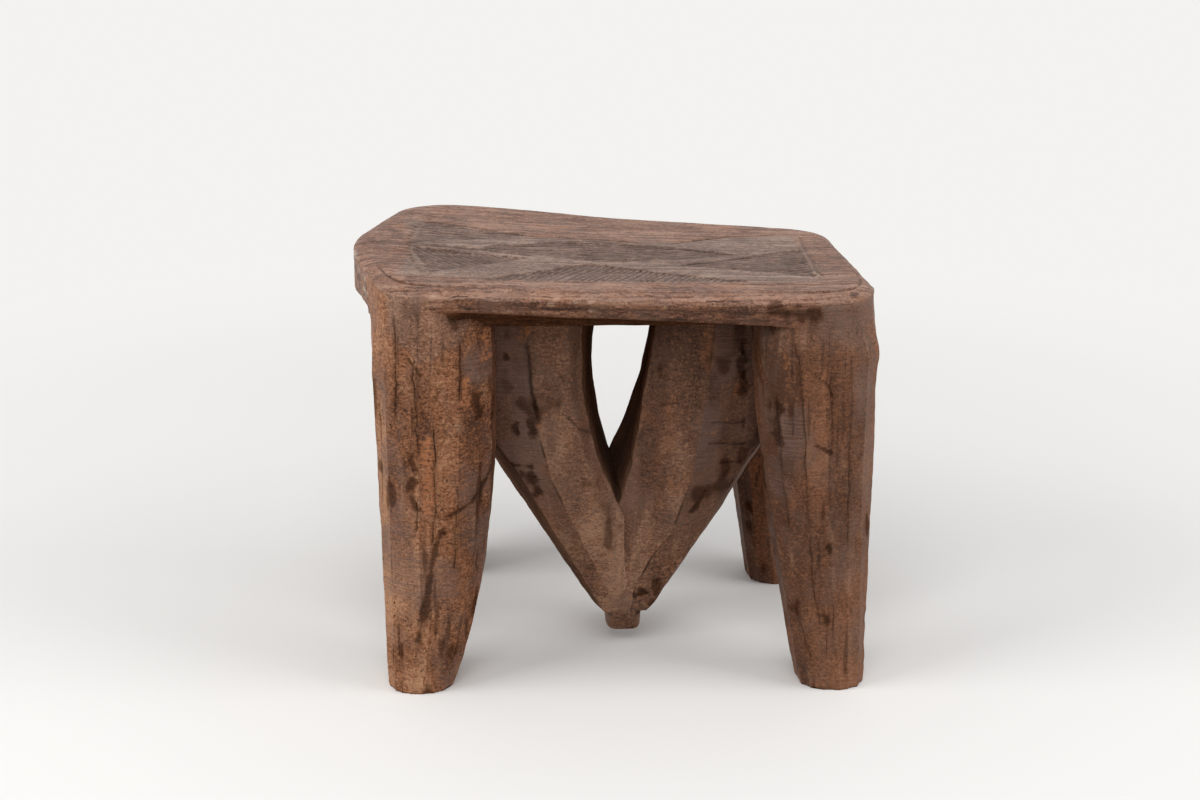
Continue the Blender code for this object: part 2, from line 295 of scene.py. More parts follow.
def carved_panel(tree, seen, value, colour):
    """Greys the panel where field is about a half; where it is 1, darkens it and draws broken sine lines."""
    field = mark(tree, "field")
    hatched = times(tree, scaled(tree, field, 2.0, -1.0), 1.0)
    greyed = times(tree, scaled(tree, hatched, -1.0, scaled(tree, field, 1.6)), 1.0)
    colour = mixed(tree, greyed, colour, ramped(tree, value, GREYED_STOPS))
    colour = mixed(tree, scaled(tree, hatched, 0.22), colour, LINE_DARK)
    wave = maths(tree, "SINE", scaled(tree, mark(tree, "phase"), 2 * math.pi))
    broken = times(tree, hatched, scaled(tree, seen["flecks"], 3.0, -0.7))
    hatching = times(tree, scaled(tree, wave, 1.1, 0.1), broken)
    return mixed(tree, times(tree, hatching, 0.85), colour, LINE_DARK), hatching


def wear_and_painted_shade(tree, seen, colour):
    """Marks laid over the colour one by one: combed lines, rubs, stains, grooves and scrapes; some paint
    shade.
    """
    combed = times(tree, mark(tree, "stria"), scaled(tree, seen["combed"], 2.2, -0.5))
    colour = mixed(tree, combed, colour, STRIA_GREY)
    lines = times(tree, scaled(tree, seen["combed"], 3.2, -0.9), 1.0)
    mottled = times(tree, lines, scaled(tree, seen["flecks"], 4.0, -1.35))
    # Orange rubs, which in the slot and the undercut are a painted warm shade; dark stains, which in the
    # slot, the undercut and on the left chamfer are a painted shade; dark grooves, which also paint shadow
    # lines under steps.
    colour = mixed(tree, times(tree, mark(tree, "rub_and_warm_shade"), mottled), colour, RUB_AND_WARM_SHADE_ORANGE)
    blotched = times(tree, mark(tree, "stain_and_shade"), scaled(tree, seen["specks"], 1.6, 0.1))
    colour = mixed(tree, blotched, colour, STAIN_AND_SHADE_DARK)
    colour = mixed(tree, scaled(tree, mark(tree, "groove_and_shade"), 0.9), colour, GROOVE_AND_SHADE_DARK)
    return mixed(tree, times(tree, mark(tree, "scrape"), lines), colour, SCRAPE_PALE)


# %% The three woods
BUMP_DISTANCE = 0.0014
LEG_STOPS = (
    (0.10, (0.064, 0.023, 0.010)),
    (0.38, (0.182, 0.073, 0.034)),
    (0.60, (0.288, 0.126, 0.065)),
    (0.92, (0.470, 0.258, 0.148)),
)
BRACE_STOPS = (
    (0.12, (0.054, 0.024, 0.015)),
    (0.38, (0.128, 0.064, 0.042)),
    (0.60, (0.200, 0.106, 0.071)),
    (1.00, (0.400, 0.245, 0.168)),
)
SEAT_STOPS = (
    (0.12, (0.075, 0.032, 0.020)),
    (0.38, (0.178, 0.085, 0.055)),
    (0.60, (0.255, 0.130, 0.087)),
    (0.90, (0.390, 0.230, 0.165)),
)


def wood(name, streak, weights, fleck, flecked, stops, roughness):
    """Bare wood, pale arrises, carved and worn places, painted shade; stains and shade lose gloss, noises
    raise bumps.
    """
    material = bpy.data.materials.new(name)
    material.use_nodes = True
    tree = material.node_tree
    seen = patterns(tree, streak, fleck)
    value, colour = bare_wood(tree, seen, weights, flecked, stops)
    arrises = times(tree, mark(tree, "edge"), scaled(tree, seen["specks"], 2.4, -0.5))
    colour = mixed(tree, arrises, colour, EDGE_PALE_AND_HIGHLIGHT)
    colour, hatching = carved_panel(tree, seen, value, colour)
    height = scaled(tree, seen["fibres"], 0.75, scaled(tree, seen["specks"], 0.45))
    height = scaled(tree, seen["streaks"], 0.35, height)
    height = scaled(tree, scaled(tree, seen["combed"], mark(tree, "stria")), 0.9, height)
    height = scaled(tree, hatching, -0.5, height)
    bump = add(tree, "ShaderNodeBump", {"Strength": 0.8, "Distance": BUMP_DISTANCE, "Height": height})
    surface = {
        "Base Color": wear_and_painted_shade(tree, seen, colour),
        "Roughness": scaled(tree, seen["specks"], 0.25, roughness - 0.125),
        "Specular IOR Level": times(tree, scaled(tree, mark(tree, "stain_and_shade"), -0.40, 0.21), 1.0),
        "Normal": bump.outputs[0],
    }
    for socket, source in surface.items():
        tree.links.new(source, tree.nodes["Principled BSDF"].inputs[socket])
    return material


leg_wood = wood(
    "hewn_leg_wood", (90, 90, 9), (1.2, 0.5, 0.9, 1.6), (420, 420, 420), (0.65, 0.8), LEG_STOPS, 0.58
)
brace_wood = wood(
    "hewn_brace_wood", (80, 80, 12), (1.2, 0.6, 1.3, 1.7), (520, 520, 400), (0.95, 0.45), BRACE_STOPS, 0.60
)
seat_wood = wood(
    "worn_seat_wood", (8, 260, 260), (1.1, 2.3, 1.1, 1.7), (60, 420, 420), (0.65, 0.8), SEAT_STOPS, 0.50
)
print("finishes:", leg_wood.name, brace_wood.name, seat_wood.name)

# %% [markdown]
# ## Setting out
# The members have to stay where the frame has them, so the sizes are the frame's own. A leg is a rounded
# box in plan that narrows towards the foot. Its inner faces draw in late on some legs and early on others,
# because each was hewn by eye, and narrowing is the power that sets this. A leg's row also says at which
# end (side) and long side (face) it stands, how far in from them (end, edge), how far its foot leans in,
# and by how much the place where it parts from the rim is moved (blend). It gives the wood's tone and
# smoothness too, and the angles of the arrises round it.

# %% Sizes
HEIGHT = 0.2935
UNDERSIDE = 0.266
HALF_LENGTH = 0.1815
HALF_DEPTH = 0.1385
LEG_TOP_DEPTH = 0.076
LEG_FOOT_WIDTH = 0.047
LEG_FOOT_DEPTH = 0.048
LEG_SQUARENESS = 2.4
LEGS = {
    "leg_front_left": {
        "side": -1, "face": -1, "width": 0.084, "end": 0.016, "edge": 0.009, "lean": (0.0045, 0.0),
        "narrowing": 2.8, "blend": -0.40, "tone": 0.08, "smoothness": 0.0,
        "arrises": (8, 34, 62, 90, 118, 146, 172, 200, 223, 242, 260, 271, 289, 312, 336),
    },
    "leg_front_right": {
        "side": 1, "face": -1, "width": 0.086, "end": -0.002, "edge": -0.0015, "lean": (0.003, 0.0),
        "narrowing": 1.5, "blend": -0.04, "tone": -0.85, "smoothness": 0.7,
        "arrises": (5, 30, 60, 92, 122, 150, 178, 205, 230, 256, 274, 291, 313, 338),
    },
    "leg_back_left": {
        "side": -1, "face": 1, "width": 0.084, "end": 0.036, "edge": 0.0125, "lean": (-0.006, -0.006),
        "narrowing": 1.5, "blend": 0.0, "tone": 0.0, "smoothness": 0.3,
        "arrises": (10, 40, 66, 92, 117, 148, 175, 203, 230, 258, 284, 310, 335),
    },
    "leg_back_right": {
        "side": 1, "face": 1, "width": 0.086, "end": 0.0165, "edge": 0.051, "lean": (-0.003, -0.014),
        "narrowing": 1.0, "blend": 0.0, "tone": -0.7, "smoothness": 0.5,
        "arrises": (3, 32, 60, 88, 116, 146, 176, 208, 236, 262, 288, 312, 338),
    },
}


def leg_section(leg, z):
    """Middle and half sizes of a leg at each height: outer faces lean evenly, inner faces draw in."""
    down = np.clip(1 - z / UNDERSIDE, 0, 1)
    drawn = down ** leg["narrowing"]
    half_width = (leg["width"] - (leg["width"] - LEG_FOOT_WIDTH) * drawn) / 2
    half_depth = (LEG_TOP_DEPTH - (LEG_TOP_DEPTH - LEG_FOOT_DEPTH) * drawn) / 2
    x = leg["side"] * (HALF_LENGTH - leg["end"] - leg["lean"][0] * down - half_width)
    y = leg["face"] * (HALF_DEPTH - leg["edge"] - leg["lean"][1] * down - half_depth)
    return x, y, half_width, half_depth


def power(value, exponent):
    """A power that keeps the sign of the number."""
    return np.sign(value) * np.abs(value) ** exponent


for name, leg in LEGS.items():
    foot_x, foot_y, _, _ = leg_section(leg, 0.0)
    print(name, "foot at", round(float(foot_x), 4), round(float(foot_y), 4))


# %% [markdown]
# ## Hewn surface and cracks
# All members share one roughness, read from the place in space, so that neighbours match where they meet.
# Cracks and cut lines are paths on a face: each is a few points, followed by height, with a width and a
# depth. A point's distance from the path gives how deep it lies, and the same number darkens the finish.


# %% Shared surface detail
def hewn(points):
    """Outward swell of the hewn surface: broad adze hollows and small knife marks."""
    return 0.55 * MM * rough(points, 0.021, 11) + 0.16 * MM * rough(points, (0.009, 0.009, 0.005), 23, 2)


def flat_spot(a, b):
    """Points for the noise from two coordinates, with 0 as the third."""
    return np.stack([a, b, np.zeros_like(a)], axis=-1)


def crack_depth(along, height, path, width):
    """From 0 to 1: nearness to a path of (position, height) points in millimetres, fading at both ends."""
    path = np.array(sorted(path, key=lambda point: point[1])) * MM
    centre = np.interp(height, path[:, 1], path[:, 0])
    centre = centre + 0.7 * MM * rough(flat_spot(height, np.full_like(height, path[0, 0])), 0.009, 37)
    ends = ease(path[0, 1] - 3 * MM, path[0, 1] + 5 * MM, height)
    ends = ends * (1 - ease(path[-1, 1] - 5 * MM, path[-1, 1] + 3 * MM, height))
    return ends * bell(along - centre, width * MM)


def near_path(across, height, path):
    """Distance from a path of straight pieces through (across, height) points given in millimetres."""
    path = np.array(path, float) * MM
    found = np.full(across.shape, np.inf)
    for a, b in zip(path[:-1], path[1:]):
        run = b - a
        share = np.clip(((across - a[0]) * run[0] + (height - a[1]) * run[1]) / (run @ run), 0, 1)
        found = np.minimum(found, np.hypot(across - a[0] - share * run[0], height - a[1] - share * run[1]))
    return found


def stroke(across, height, path, width, ragged=0.7):
    """From 0 to 1: a ragged smear along a path, as wide to each side as given in millimetres."""
    reach = near_path(across, height, path) / (width * MM)
    return 1 - ease(0.3, 1.5, reach + ragged * rough(flat_spot(across, height), 0.005, 53))


def smears(across, height, strokes, ragged=0.7):
    """The strongest at each point of several strokes, each given by its path and its width."""
    found = np.zeros(across.shape)
    for path, width in strokes:
        found = np.maximum(found, stroke(across, height, path, width, ragged))
    return found


print("hewn swell at the middle:", round(float(hewn(np.zeros((1, 3)))[0] / MM), 2), "mm")

# %% [markdown]
# ## The seat's outline
# Seen from above the seat is an uneven rounded rectangle with one bowed end. Straight sides joined by arcs
# give it with five corners. At a leg the rim's face and the leg's face are one surface, so for each point of
# the outline three shares are worked out here: how far the leg's top rises to the rim's upper edge, how far
# its face bends out to the rim, and how far the rim's own face draws back behind it.

# %% Outline
SEAT_CORNERS = (
    (-0.1515, -0.1275, 0.024),
    (0.1815, -0.1385, 0.040),
    (0.1755, 0.0915, 0.032),
    (-0.1375, 0.1385, 0.052),
    (-0.1815, -0.008, 0.130),
)
ARC_POINTS = 40
ACROSS = 300
DEEP = 210


def arc_at(before, corner, after, radius):
    """Points of an arc that touches both sides of a corner."""
    arrive = (corner - before) / np.linalg.norm(corner - before)
    leave = (after - corner) / np.linalg.norm(after - corner)
    turn = math.acos(float(np.clip(arrive @ leave, -1, 1)))
    inward = np.array([-arrive[1], arrive[0]])
    angle = np.linspace(0, turn, ARC_POINTS)[:, None]
    begin = corner - arrive * radius * math.tan(turn / 2)
    return begin + radius * (np.sin(angle) * arrive + (1 - np.cos(angle)) * inward)


def seat_outline():
    """The rounded outline scaled to the seat's length and depth, cut into four sides between its corners."""
    points = np.array([corner[:2] for corner in SEAT_CORNERS])
    befores, afters = np.roll(points, 1, axis=0), np.roll(points, -1, axis=0)
    radii = [corner[2] for corner in SEAT_CORNERS]
    line = np.concatenate([arc_at(*row) for row in zip(befores, points, afters, radii)])
    low, high = line.min(axis=0), line.max(axis=0)
    line = (line - (low + high) / 2) * np.array([2 * HALF_LENGTH, 2 * HALF_DEPTH]) / (high - low)
    line = np.roll(line, -(ARC_POINTS // 2), axis=0)
    line = np.concatenate([line, line[:1]])
    gone = np.concatenate([[0], np.cumsum(np.linalg.norm(np.diff(line, axis=0), axis=1))])
    starts = [gone[ARC_POINTS * i] for i in range(4)] + [gone[-1]]
    steps = (ACROSS, DEEP, ACROSS, DEEP)
    place = [np.linspace(starts[i], starts[i + 1], steps[i], endpoint=False) for i in range(4)]
    place = np.concatenate(place)
    return np.stack([np.interp(place, gone, line[:, axis]) for axis in (0, 1)], axis=-1)


def inward_of(line):
    """Unit normals of a closed anticlockwise line, pointing inwards."""
    along = np.roll(line, -2, axis=0) - np.roll(line, 2, axis=0)
    along = along / np.linalg.norm(along, axis=1, keepdims=True)
    return np.stack([-along[:, 1], along[:, 0]], axis=-1)


def softened(line, reach):
    """A closed line whose points are each the mean of their neighbours as far as reach, taken twice."""
    for _ in range(2):
        line = np.mean([np.roll(line, step, axis=0) for step in range(-reach, reach + 1, 2)], axis=0)
    return line


outline = seat_outline()
inward = inward_of(outline)
print("outline:", len(outline), "points, spans", np.round(np.ptp(outline, axis=0) / MM, 1).tolist(), "mm")


# %% Where the legs meet the rim
def leg_shares(line, low, high):
    """For each leg, how far each point of a line belongs to it: 1 by its outer faces, 0 past its inner ones.

    The distance inwards from the leg's middle, in half widths and less its blend, fades the share from low
    to high. The same distance in half depths fades it a little further in.
    """
    found = {}
    for name, leg in LEGS.items():
        x, y, half_width, half_depth = leg_section(leg, UNDERSIDE)
        inner_x = leg["side"] * (x - line[:, 0]) / half_width - leg["blend"]
        inner_y = leg["face"] * (y - line[:, 1]) / half_depth
        found[name] = (1 - ease(low, high, inner_x)) * (1 - ease(low + 0.15, high + 0.15, inner_y))
    return found


grown = leg_shares(outline, 0.60, 0.78)
fading = leg_shares(outline, 0.20, 1.05)
covered = leg_shares(outline, 0.10, 0.42)
over_leg = np.max(list(covered.values()), axis=0)
open_rim = 1 - np.max(list(fading.values()), axis=0)
print("part of the rim that grows into legs:", round(float((over_leg > 0.5).mean()), 2))

# %% Top, shoulder and upper arris of the rim
TILT = 0.0043
TWIST = 0.0072
HOLLOW = 0.003
SHOULDER_WIDTH = 0.010
SHOULDER_DROP = 0.0034
FRONT_SHOULDER = 0.0065
FRONT_DROP = 0.0014
RIGHT_SHOULDER_LESS = 0.004
FIELD_SOFTENING = 26
RIM_SETBACK = 0.0008


def seat_top(x, y):
    """Height of the bare top: lower to the right, the more so at the back, and hollow along its length."""
    x, y = x / HALF_LENGTH, y / HALF_DEPTH
    return HEIGHT - (TILT + TWIST * (y + 1) / 2) * x - HOLLOW * np.clip(1 - x**2, 0, 1)


at_front = ease(0.3, 0.9, inward[:, 1])
at_right = ease(0.3, 0.9, -inward[:, 0])
at_left = ease(0.3, 0.9, inward[:, 0])
shoulder = SHOULDER_WIDTH + FRONT_SHOULDER * at_front - RIGHT_SHOULDER_LESS * at_right
field_line = softened(outline + inward * shoulder[:, None], FIELD_SOFTENING)
top_line = outline + inward * RIM_SETBACK
drop = SHOULDER_DROP + FRONT_DROP * at_front
arris_height = seat_top(top_line[:, 0], top_line[:, 1]) - drop
print("upper arris, m:", round(float(arris_height.min()), 4), "to", round(float(arris_height.max()), 4))

# %% [markdown]
# ## The legs
# A leg could be a cylinder with a taper, but the adze leaves long flat facets that meet in arrises. So the
# section is a polygon whose corners sit on the rounded box at chosen angles, and the corners wander a little
# with height. Close under the seat the facets bend out or in to the rim and end at its upper arris, so that
# leg and rim read as one surface. Cracks, stains and rubs are paths of (x, height) on the front faces.

# %% Marks on the legs
LEG_CRACKS = {
    "leg_front_left": (
        ((-148.0, 277), (-147.9, 258), (-148.3, 238), (-149, 205)),
        ((-136.3, 243), (-135.8, 226), (-134.7, 205), (-134.4, 178)),
        ((-123.7, 199), (-123.0, 183), (-123.2, 161), (-124.2, 135), (-126.5, 113)),
        ((-104.4, 259), (-104.5, 238), (-105.2, 217)),
        ((-136.1, 146), (-137.0, 122)),
        ((-107.2, 144), (-109.7, 124), (-111.7, 92)),
    ),
    "leg_front_right": (
        (
            (121.7, 257), (125.9, 232), (128.8, 203), (131.3, 167),
            (133.7, 138), (136.7, 108), (139.7, 81), (144.9, 52),
        ),
        ((160.8, 249), (161.1, 220), (161.0, 188), (162.0, 144), (161.9, 110)),
        ((110.6, 220), (111.8, 200), (115.4, 167), (121.6, 122)),
        ((145.6, 236), (148.1, 203), (147.5, 158)),
        ((125.4, 67), (133.0, 47), (139.5, 22)),
    ),
}
LEG_STAINS = {
    "leg_front_left": (
        (((-84, 166), (-86, 160), (-92.6, 149.5), (-99.6, 142), (-108, 138), (-115.6, 134.5)), 1.5),
        (((-140, 176), (-137, 166), (-140, 156)), 4.0),
        (((-139, 147), (-136, 141)), 2.2),
        (((-94, 220), (-93, 205)), 3.0),
        (((-120, 122), (-126, 104), (-129, 84), (-133, 64), (-138, 42)), 2.6),
        (((-139, 248), (-131, 236)), 1.0),
    ),
    "leg_front_right": (
        (((112, 212), (113, 186)), 3.0),
        (((124, 279), (136, 277)), 4.5),
        (((149, 112), (150, 106)), 2.0),
        (((148, 58), (150, 51)), 2.6),
        (((135, 236), (144, 229), (148, 220)), 1.0),
        (((138, 185), (148, 180)), 1.2),
    ),
}
LEG_RUBS = {
    "leg_front_left": (
        (((-128.5, 190), (-128, 165), (-128, 138)), 4.6),
        (((-101, 232), (-102, 214)), 2.6),
        (((-85, 262), (-87, 245)), 3.0),
    ),
    "leg_front_right": (
        (((118, 248), (120, 225)), 3.0),
        (((145, 12), (147, 3)), 2.0),
        (((135, 2), (165, 2)), 1.2),
    ),
}
print("cracks drawn:", sum(len(paths) for paths in LEG_CRACKS.values()))

# %% Leg surface
LEG_TOP = 0.2725
LEG_ROW = 1.5 * MM
LEG_COLUMN = 0.55 * MM
LEG_RADIUS = 0.042
CORNER_TURN = math.radians(3.0)
SCOOP = 0.010
SCOOP_RUN = 0.011
FACET_HOLLOW = 0.5 * MM
FLARE_FROM = 0.262
BEND_FROM = 0.246
BELOW_ARRIS = 0.0006


def rim_round(name, angle):
    """Distance and height of the rim's arris, and the shares grown and fading, at angles round a leg.

    The leg's part of the rim is sorted by its angle from the leg's middle, and each value is read off it.
    """
    leg = LEGS[name]
    x, y, _, _ = leg_section(leg, UNDERSIDE)
    outward = math.atan2(leg["face"], leg["side"])
    away = top_line - np.array([x, y])
    turned = (np.arctan2(away[:, 1], away[:, 0]) - outward + math.pi) % (2 * math.pi) - math.pi
    mine = np.flatnonzero(fading[name] > 0)
    order = mine[np.argsort(turned[mine])]
    asked = (angle - outward + math.pi) % (2 * math.pi) - math.pi
    reach = np.interp(asked, turned[order], np.linalg.norm(away[order], axis=1))
    height = np.interp(asked, turned[order], arris_height[order])
    full = np.interp(asked, turned[order], grown[name][order], left=0, right=0)
    part = np.interp(asked, turned[order], fading[name][order], left=0, right=0)
    return reach, height, full, part


def leg_grid(name):
    """Rows up the leg, columns round it: flat facets between wandering corners, bent to the rim on top."""
    leg = LEGS[name]
    seed = 100 + 10 * list(LEGS).index(name)
    angles = np.radians(leg["arrises"])
    spans = np.diff(np.append(angles, angles[0] + 2 * math.pi)) * LEG_RADIUS
    counts = np.maximum(np.round(spans / LEG_COLUMN).astype(int), 6)
    z = np.linspace(0, LEG_TOP, int(LEG_TOP / LEG_ROW))[:, None]
    spot = np.stack(np.broadcast_arrays(z, np.arange(len(angles))[None, :] * 1.0, 0.0), axis=-1)
    turned = angles + CORNER_TURN * noise(spot, (0.055, 0.37, 1), seed)
    spread = 1.03 + 0.016 * noise(spot, (0.045, 0.37, 1), seed + 1)
    x, y, half_width, half_depth = leg_section(leg, z)
    corner_x = half_width * power(np.cos(turned), 2 / LEG_SQUARENESS) * spread
    corner_y = half_depth * power(np.sin(turned), 2 / LEG_SQUARENESS) * spread
    plan, facet, share = along_sides(np.stack([corner_x, corner_y], axis=-1), counts)
    reach = np.linalg.norm(plan, axis=-1)
    way = plan / reach[..., None]
    reach = reach - FACET_HOLLOW * 4 * share * (1 - share)
    rim_reach, rim_height, full, part = rim_round(name, np.arctan2(way[..., 1], way[..., 0]))
    bend = ease(BEND_FROM, LEG_TOP, z) * part
    reach = reach + (rim_reach - reach) * bend
    outer = ease(0.35, 0.9, leg["face"] * way[..., 1])
    reach = reach - SCOOP * np.exp((z - LEG_TOP) / SCOOP_RUN) * (1 - part) * outer
    stretch = np.clip((z - FLARE_FROM) / (LEG_TOP - FLARE_FROM), 0, 1) * full
    height = z + (rim_height - BELOW_ARRIS - LEG_TOP) * stretch
    grid = np.stack([x + way[..., 0] * reach, y + way[..., 1] * reach, height], axis=-1)
    arris = np.minimum(share, 1 - share) * np.repeat(spans, counts)[None, :]
    plain = (1 - 0.6 * leg["smoothness"]) * (1 - ease(0.225, 0.260, z))
    tone = noise(spot, (0.09, 0.37, 1), seed + 2)[:, facet] * plain + leg["tone"]
    # Painted shade on the faces that look inward, towards the other legs, and painted light on the outer end
    # faces.
    to_end = leg["side"] * way[..., 0]
    tone = tone - 0.8 * ease(0.0, 0.8, -to_end) + 0.6 * ease(0.62, 1.0, to_end)
    tone = tone + 0.45 * (1 - ease(0.03, 0.14, z))
    return grid, np.broadcast_to(arris, reach.shape), tone


print("leg grid:", leg_grid("leg_front_left")[0].shape[:2], "points")

# %% Cuts that only one leg has
SCALLOP = (
    (-152, 266), (-148.7, 259.6), (-143.8, 258), (-136.9, 252), (-134.3, 244.6),
    (-124.5, 245.7), (-114.2, 253.9), (-104.3, 255.9), (-98, 268),
)
SCALLOP_DEPTH = 1.3 * MM
KNOB_HEIGHT = 0.243
KNOB_REACH = 0.008
KNOB_SWELL = 1.2 * MM


def scallop(x, z):
    """Height above the ragged lower edge of an adze cut near the top of the front left leg."""
    path = np.array(SCALLOP) * MM
    edge = np.interp(x, path[:, 0], path[:, 1], left=1, right=1)
    return z - edge + 1.1 * MM * rough(flat_spot(x, z), 0.006, 57)


def single_cuts(name, x, z, front, rightward):
    """Swell, groove and grey of the front left leg's adze cut, or of the front right leg's knob."""
    none = np.zeros(z.shape)
    if name == "leg_front_left":
        above = scallop(x, z)
        cut = front * ease(0, 2 * MM, above)
        swell = -SCALLOP_DEPTH * cut * (1 - ease(0.250, 0.268, z))
        # The dark line along the cut's lower edge is a painted shade under its small step, and is sunk a
        # little too.
        return swell, 0.45 * front * bell(above, 0.9 * MM), 0.24 * cut
    if name == "leg_front_right":
        swell = KNOB_SWELL * bell(z - KNOB_HEIGHT, KNOB_REACH) * ease(0.3, 1.0, rightward)
        return swell, none, front * (0.08 + 0.12 * ease(0.246, 0.266, z))
    return none, none, none


# %% Carved legs
CRACK_WIDTH = 0.42
CRACK_STAIN_WIDTH = 2.6
LEG_GROOVE_DEPTH = 1.4 * MM


def make_leg(name):
    """A leg: the grid pushed out by the hewn swell, in by cracks and at the foot's worn edge, and marked."""
    grid, arris, tone = leg_grid(name)
    smoothness = LEGS[name]["smoothness"]
    normal = normals_of(grid)
    x, z = grid[..., 0], grid[..., 2]
    front = ease(0.15, 0.45, -normal[..., 1])
    level = np.linspace(0, LEG_TOP, len(z))[:, None]
    calm = 1 - ease(0.262, 0.2715, level)
    own_swell, groove_and_shade, field = single_cuts(name, x, z, front, normal[..., 0])
    sharp = 1 - 0.40 * smoothness
    stain_and_shade = np.zeros(z.shape)
    for number, path in enumerate(LEG_CRACKS.get(name, ())):
        uneven = 0.70 + 0.45 * noise(grid, 0.012, 300 + number)
        groove_and_shade = np.maximum(groove_and_shade, sharp * front * uneven * crack_depth(x, z, path, CRACK_WIDTH))
        stain_and_shade = np.maximum(stain_and_shade, 0.28 * sharp * front * crack_depth(x, z, path, CRACK_STAIN_WIDTH))
    splits = ease(0.70, 0.98, rough(grid, (0.004, 0.004, 0.05), 71))
    seams = bell(arris, 0.5 * MM) * ease(0.1, 0.7, rough(grid, (0.03, 0.03, 0.05), 73))
    groove_and_shade = np.maximum(groove_and_shade, sharp * calm * np.maximum(0.55 * splits, 0.5 * seams))
    stain_and_shade = np.maximum(stain_and_shade, 0.8 * front * smears(x, z, LEG_STAINS.get(name, ())))
    stain_and_shade = np.maximum(stain_and_shade, 0.6 * ease(0.55, 0.95, rough(grid, (0.012, 0.012, 0.03), 83)))
    rub_and_warm_shade = 1.3 * (1 - smoothness) * front * smears(x, z, LEG_RUBS.get(name, ()), 1.0)
    # Pale arrises and the pale top edge: partly worn, partly a painted highlight.
    edge = bell(arris, 2.2 * MM) * ease(0.0, 0.8, rough(grid, 0.02, 89)) * (1 - stain_and_shade)
    top_edge = ease(0.2705, 0.2725, level) * ease(0.0, 0.5, rough(grid, 0.012, 93))
    edge = np.maximum(0.5 * edge, 0.7 * top_edge)
    stria = 0.7 * ease(0.0, 0.7, rough(grid, (0.03, 0.03, 0.04), 95))
    foot = 1 - ease(0.0, 0.0022, z)
    swell = hewn(grid) * calm + own_swell - (0.9 + 0.5 * rough(grid, 0.008, 61, 2)) * MM * foot
    grid = grid + normal * (swell - LEG_GROOVE_DEPTH * groove_and_shade)[..., None]
    grid[..., 2] = np.where(level <= 0, 0, grid[..., 2])
    marks = {"groove_and_shade": groove_and_shade, "stain_and_shade": stain_and_shade, "rub_and_warm_shade": rub_and_warm_shade, "edge": edge, "tone": 0.6 * tone, "stria": stria}
    marks = marks | {"smooth": np.full(z.shape, smoothness), "field": field}
    return make_piece(name, grid, tube_faces(z.shape), leg_wood, marks)


legs = [make_leg(name) for name in LEGS]

# %% [markdown]
# ## The brace
# Two arms come down from the seat between the legs and meet in a tip; a slot shaped like half a lens parts
# them. One arm is a section carried up a path: at each height the section has a slot wall, a front made of
# three facets with a keel, a chamfer along the lower outer edge, an outer wall and the same again behind.
# The corners' places are read from short tables of height and position, so every arris is a smooth line.

# %% Lines of the brace
JOIN = 0.008
BRACE_MIDDLE = -0.020
BRACE_TIP_DEPTH = 0.076
BRACE_GAIN = 0.048
TIP_HEIGHT = 0.029
BRACE_TOP = 0.2715
OUTER_SLOPE = 0.65
ARM_STEP = 1.2 * MM
ARMS = {
    # below: painted shade on the lower chamfer; fold: the fold's relief, with painted light on the left arm
    # and painted shade on the right.
    "brace_arm_left": {
        "side": -1, "fold": 0.9, "tone": 0.62, "below": 0.50, "tip": 0.016, "reach": 0.158,
        "slot_front": (
            (29, -7), (104, -7), (117, 1), (145, 13), (177, 22), (207, 27), (230, 27.5), (272, 26),
        ),
        "slot_back": (
            (29, -7), (112, -7), (128, 2), (157, 10), (188, 14.5), (205, 14.5), (245, 11), (272, 10),
        ),
        "keel": ((29, 3), (40, 4), (84, 25), (139, 49), (171, 57), (202, 61.5), (272, 68.5)),
        "inner": ((29, 1.5), (48, 2), (73, 5), (106, 12), (154, 26), (201, 36), (272, 40)),
        "chamfer": ((29, 5), (60, 8), (100, 12), (140, 17), (272, 18)),
    },
    "brace_arm_right": {
        "side": 1, "fold": -1.7, "tone": 0.22, "below": 0.08, "tip": 0.026, "reach": 0.144,
        "slot_front": ((29, -7), (104, -7), (118, 0), (145, 8), (191, 15), (237, 21), (272, 25)),
        "slot_back": ((29, -7), (112, -7), (128, -2.5), (157, 11.5), (187, 21.5), (218, 29), (272, 35)),
        "keel": ((29, 8.5), (48, 10.5), (79, 24.5), (96, 37.5), (137, 50.5), (199, 59.5), (272, 66)),
        "inner": ((29, 4), (56, 6.6), (81, 11), (106, 18), (134, 26), (161, 30), (200, 35), (272, 39)),
        "chamfer": ((29, 4), (80, 7), (110, 9), (140, 13), (272, 13)),
    },
}
CHAMFER_DEPTH = 2.2
BACK_CHAMFER_DEPTH = 0.8


def table(z, rows):
    """A line through (height, distance) rows in millimetres, averaged over 10 mm so that it bends softly."""
    rows = np.array(rows) * MM
    shifts = np.linspace(-5, 5, 5) * MM
    return np.mean([np.interp(z + shift, rows[:, 0], rows[:, 1]) for shift in shifts], axis=0)


def outer_line(arm, rise):
    """Distance of an arm's outer wall from the join: a straight slope from the tip up to its full reach."""
    return np.minimum(arm["tip"] + OUTER_SLOPE * rise, arm["reach"])


def arm_corners(arm, z):
    """Plan of the section at each height, measured from the join: six corners from the slot round to it."""
    rise = np.clip(z - TIP_HEIGHT, 0, None)
    half = (BRACE_TIP_DEPTH + BRACE_GAIN * rise / (UNDERSIDE - TIP_HEIGHT)) / 2
    outer = outer_line(arm, rise)
    chamfer = table(z, arm["chamfer"])
    ragged = 0.8 * MM * rough(flat_spot(z, np.full_like(z, arm["side"])), 0.012, 451)
    corners = [
        (table(z, arm["slot_front"]) + ragged, -half),
        (outer - chamfer, -half),
        (outer, CHAMFER_DEPTH * chamfer - half),
        (outer, half - BACK_CHAMFER_DEPTH * chamfer),
        (outer - chamfer, half),
        (table(z, arm["slot_back"]), half),
    ]
    return np.stack([np.stack(corner, axis=-1) for corner in corners], axis=1)


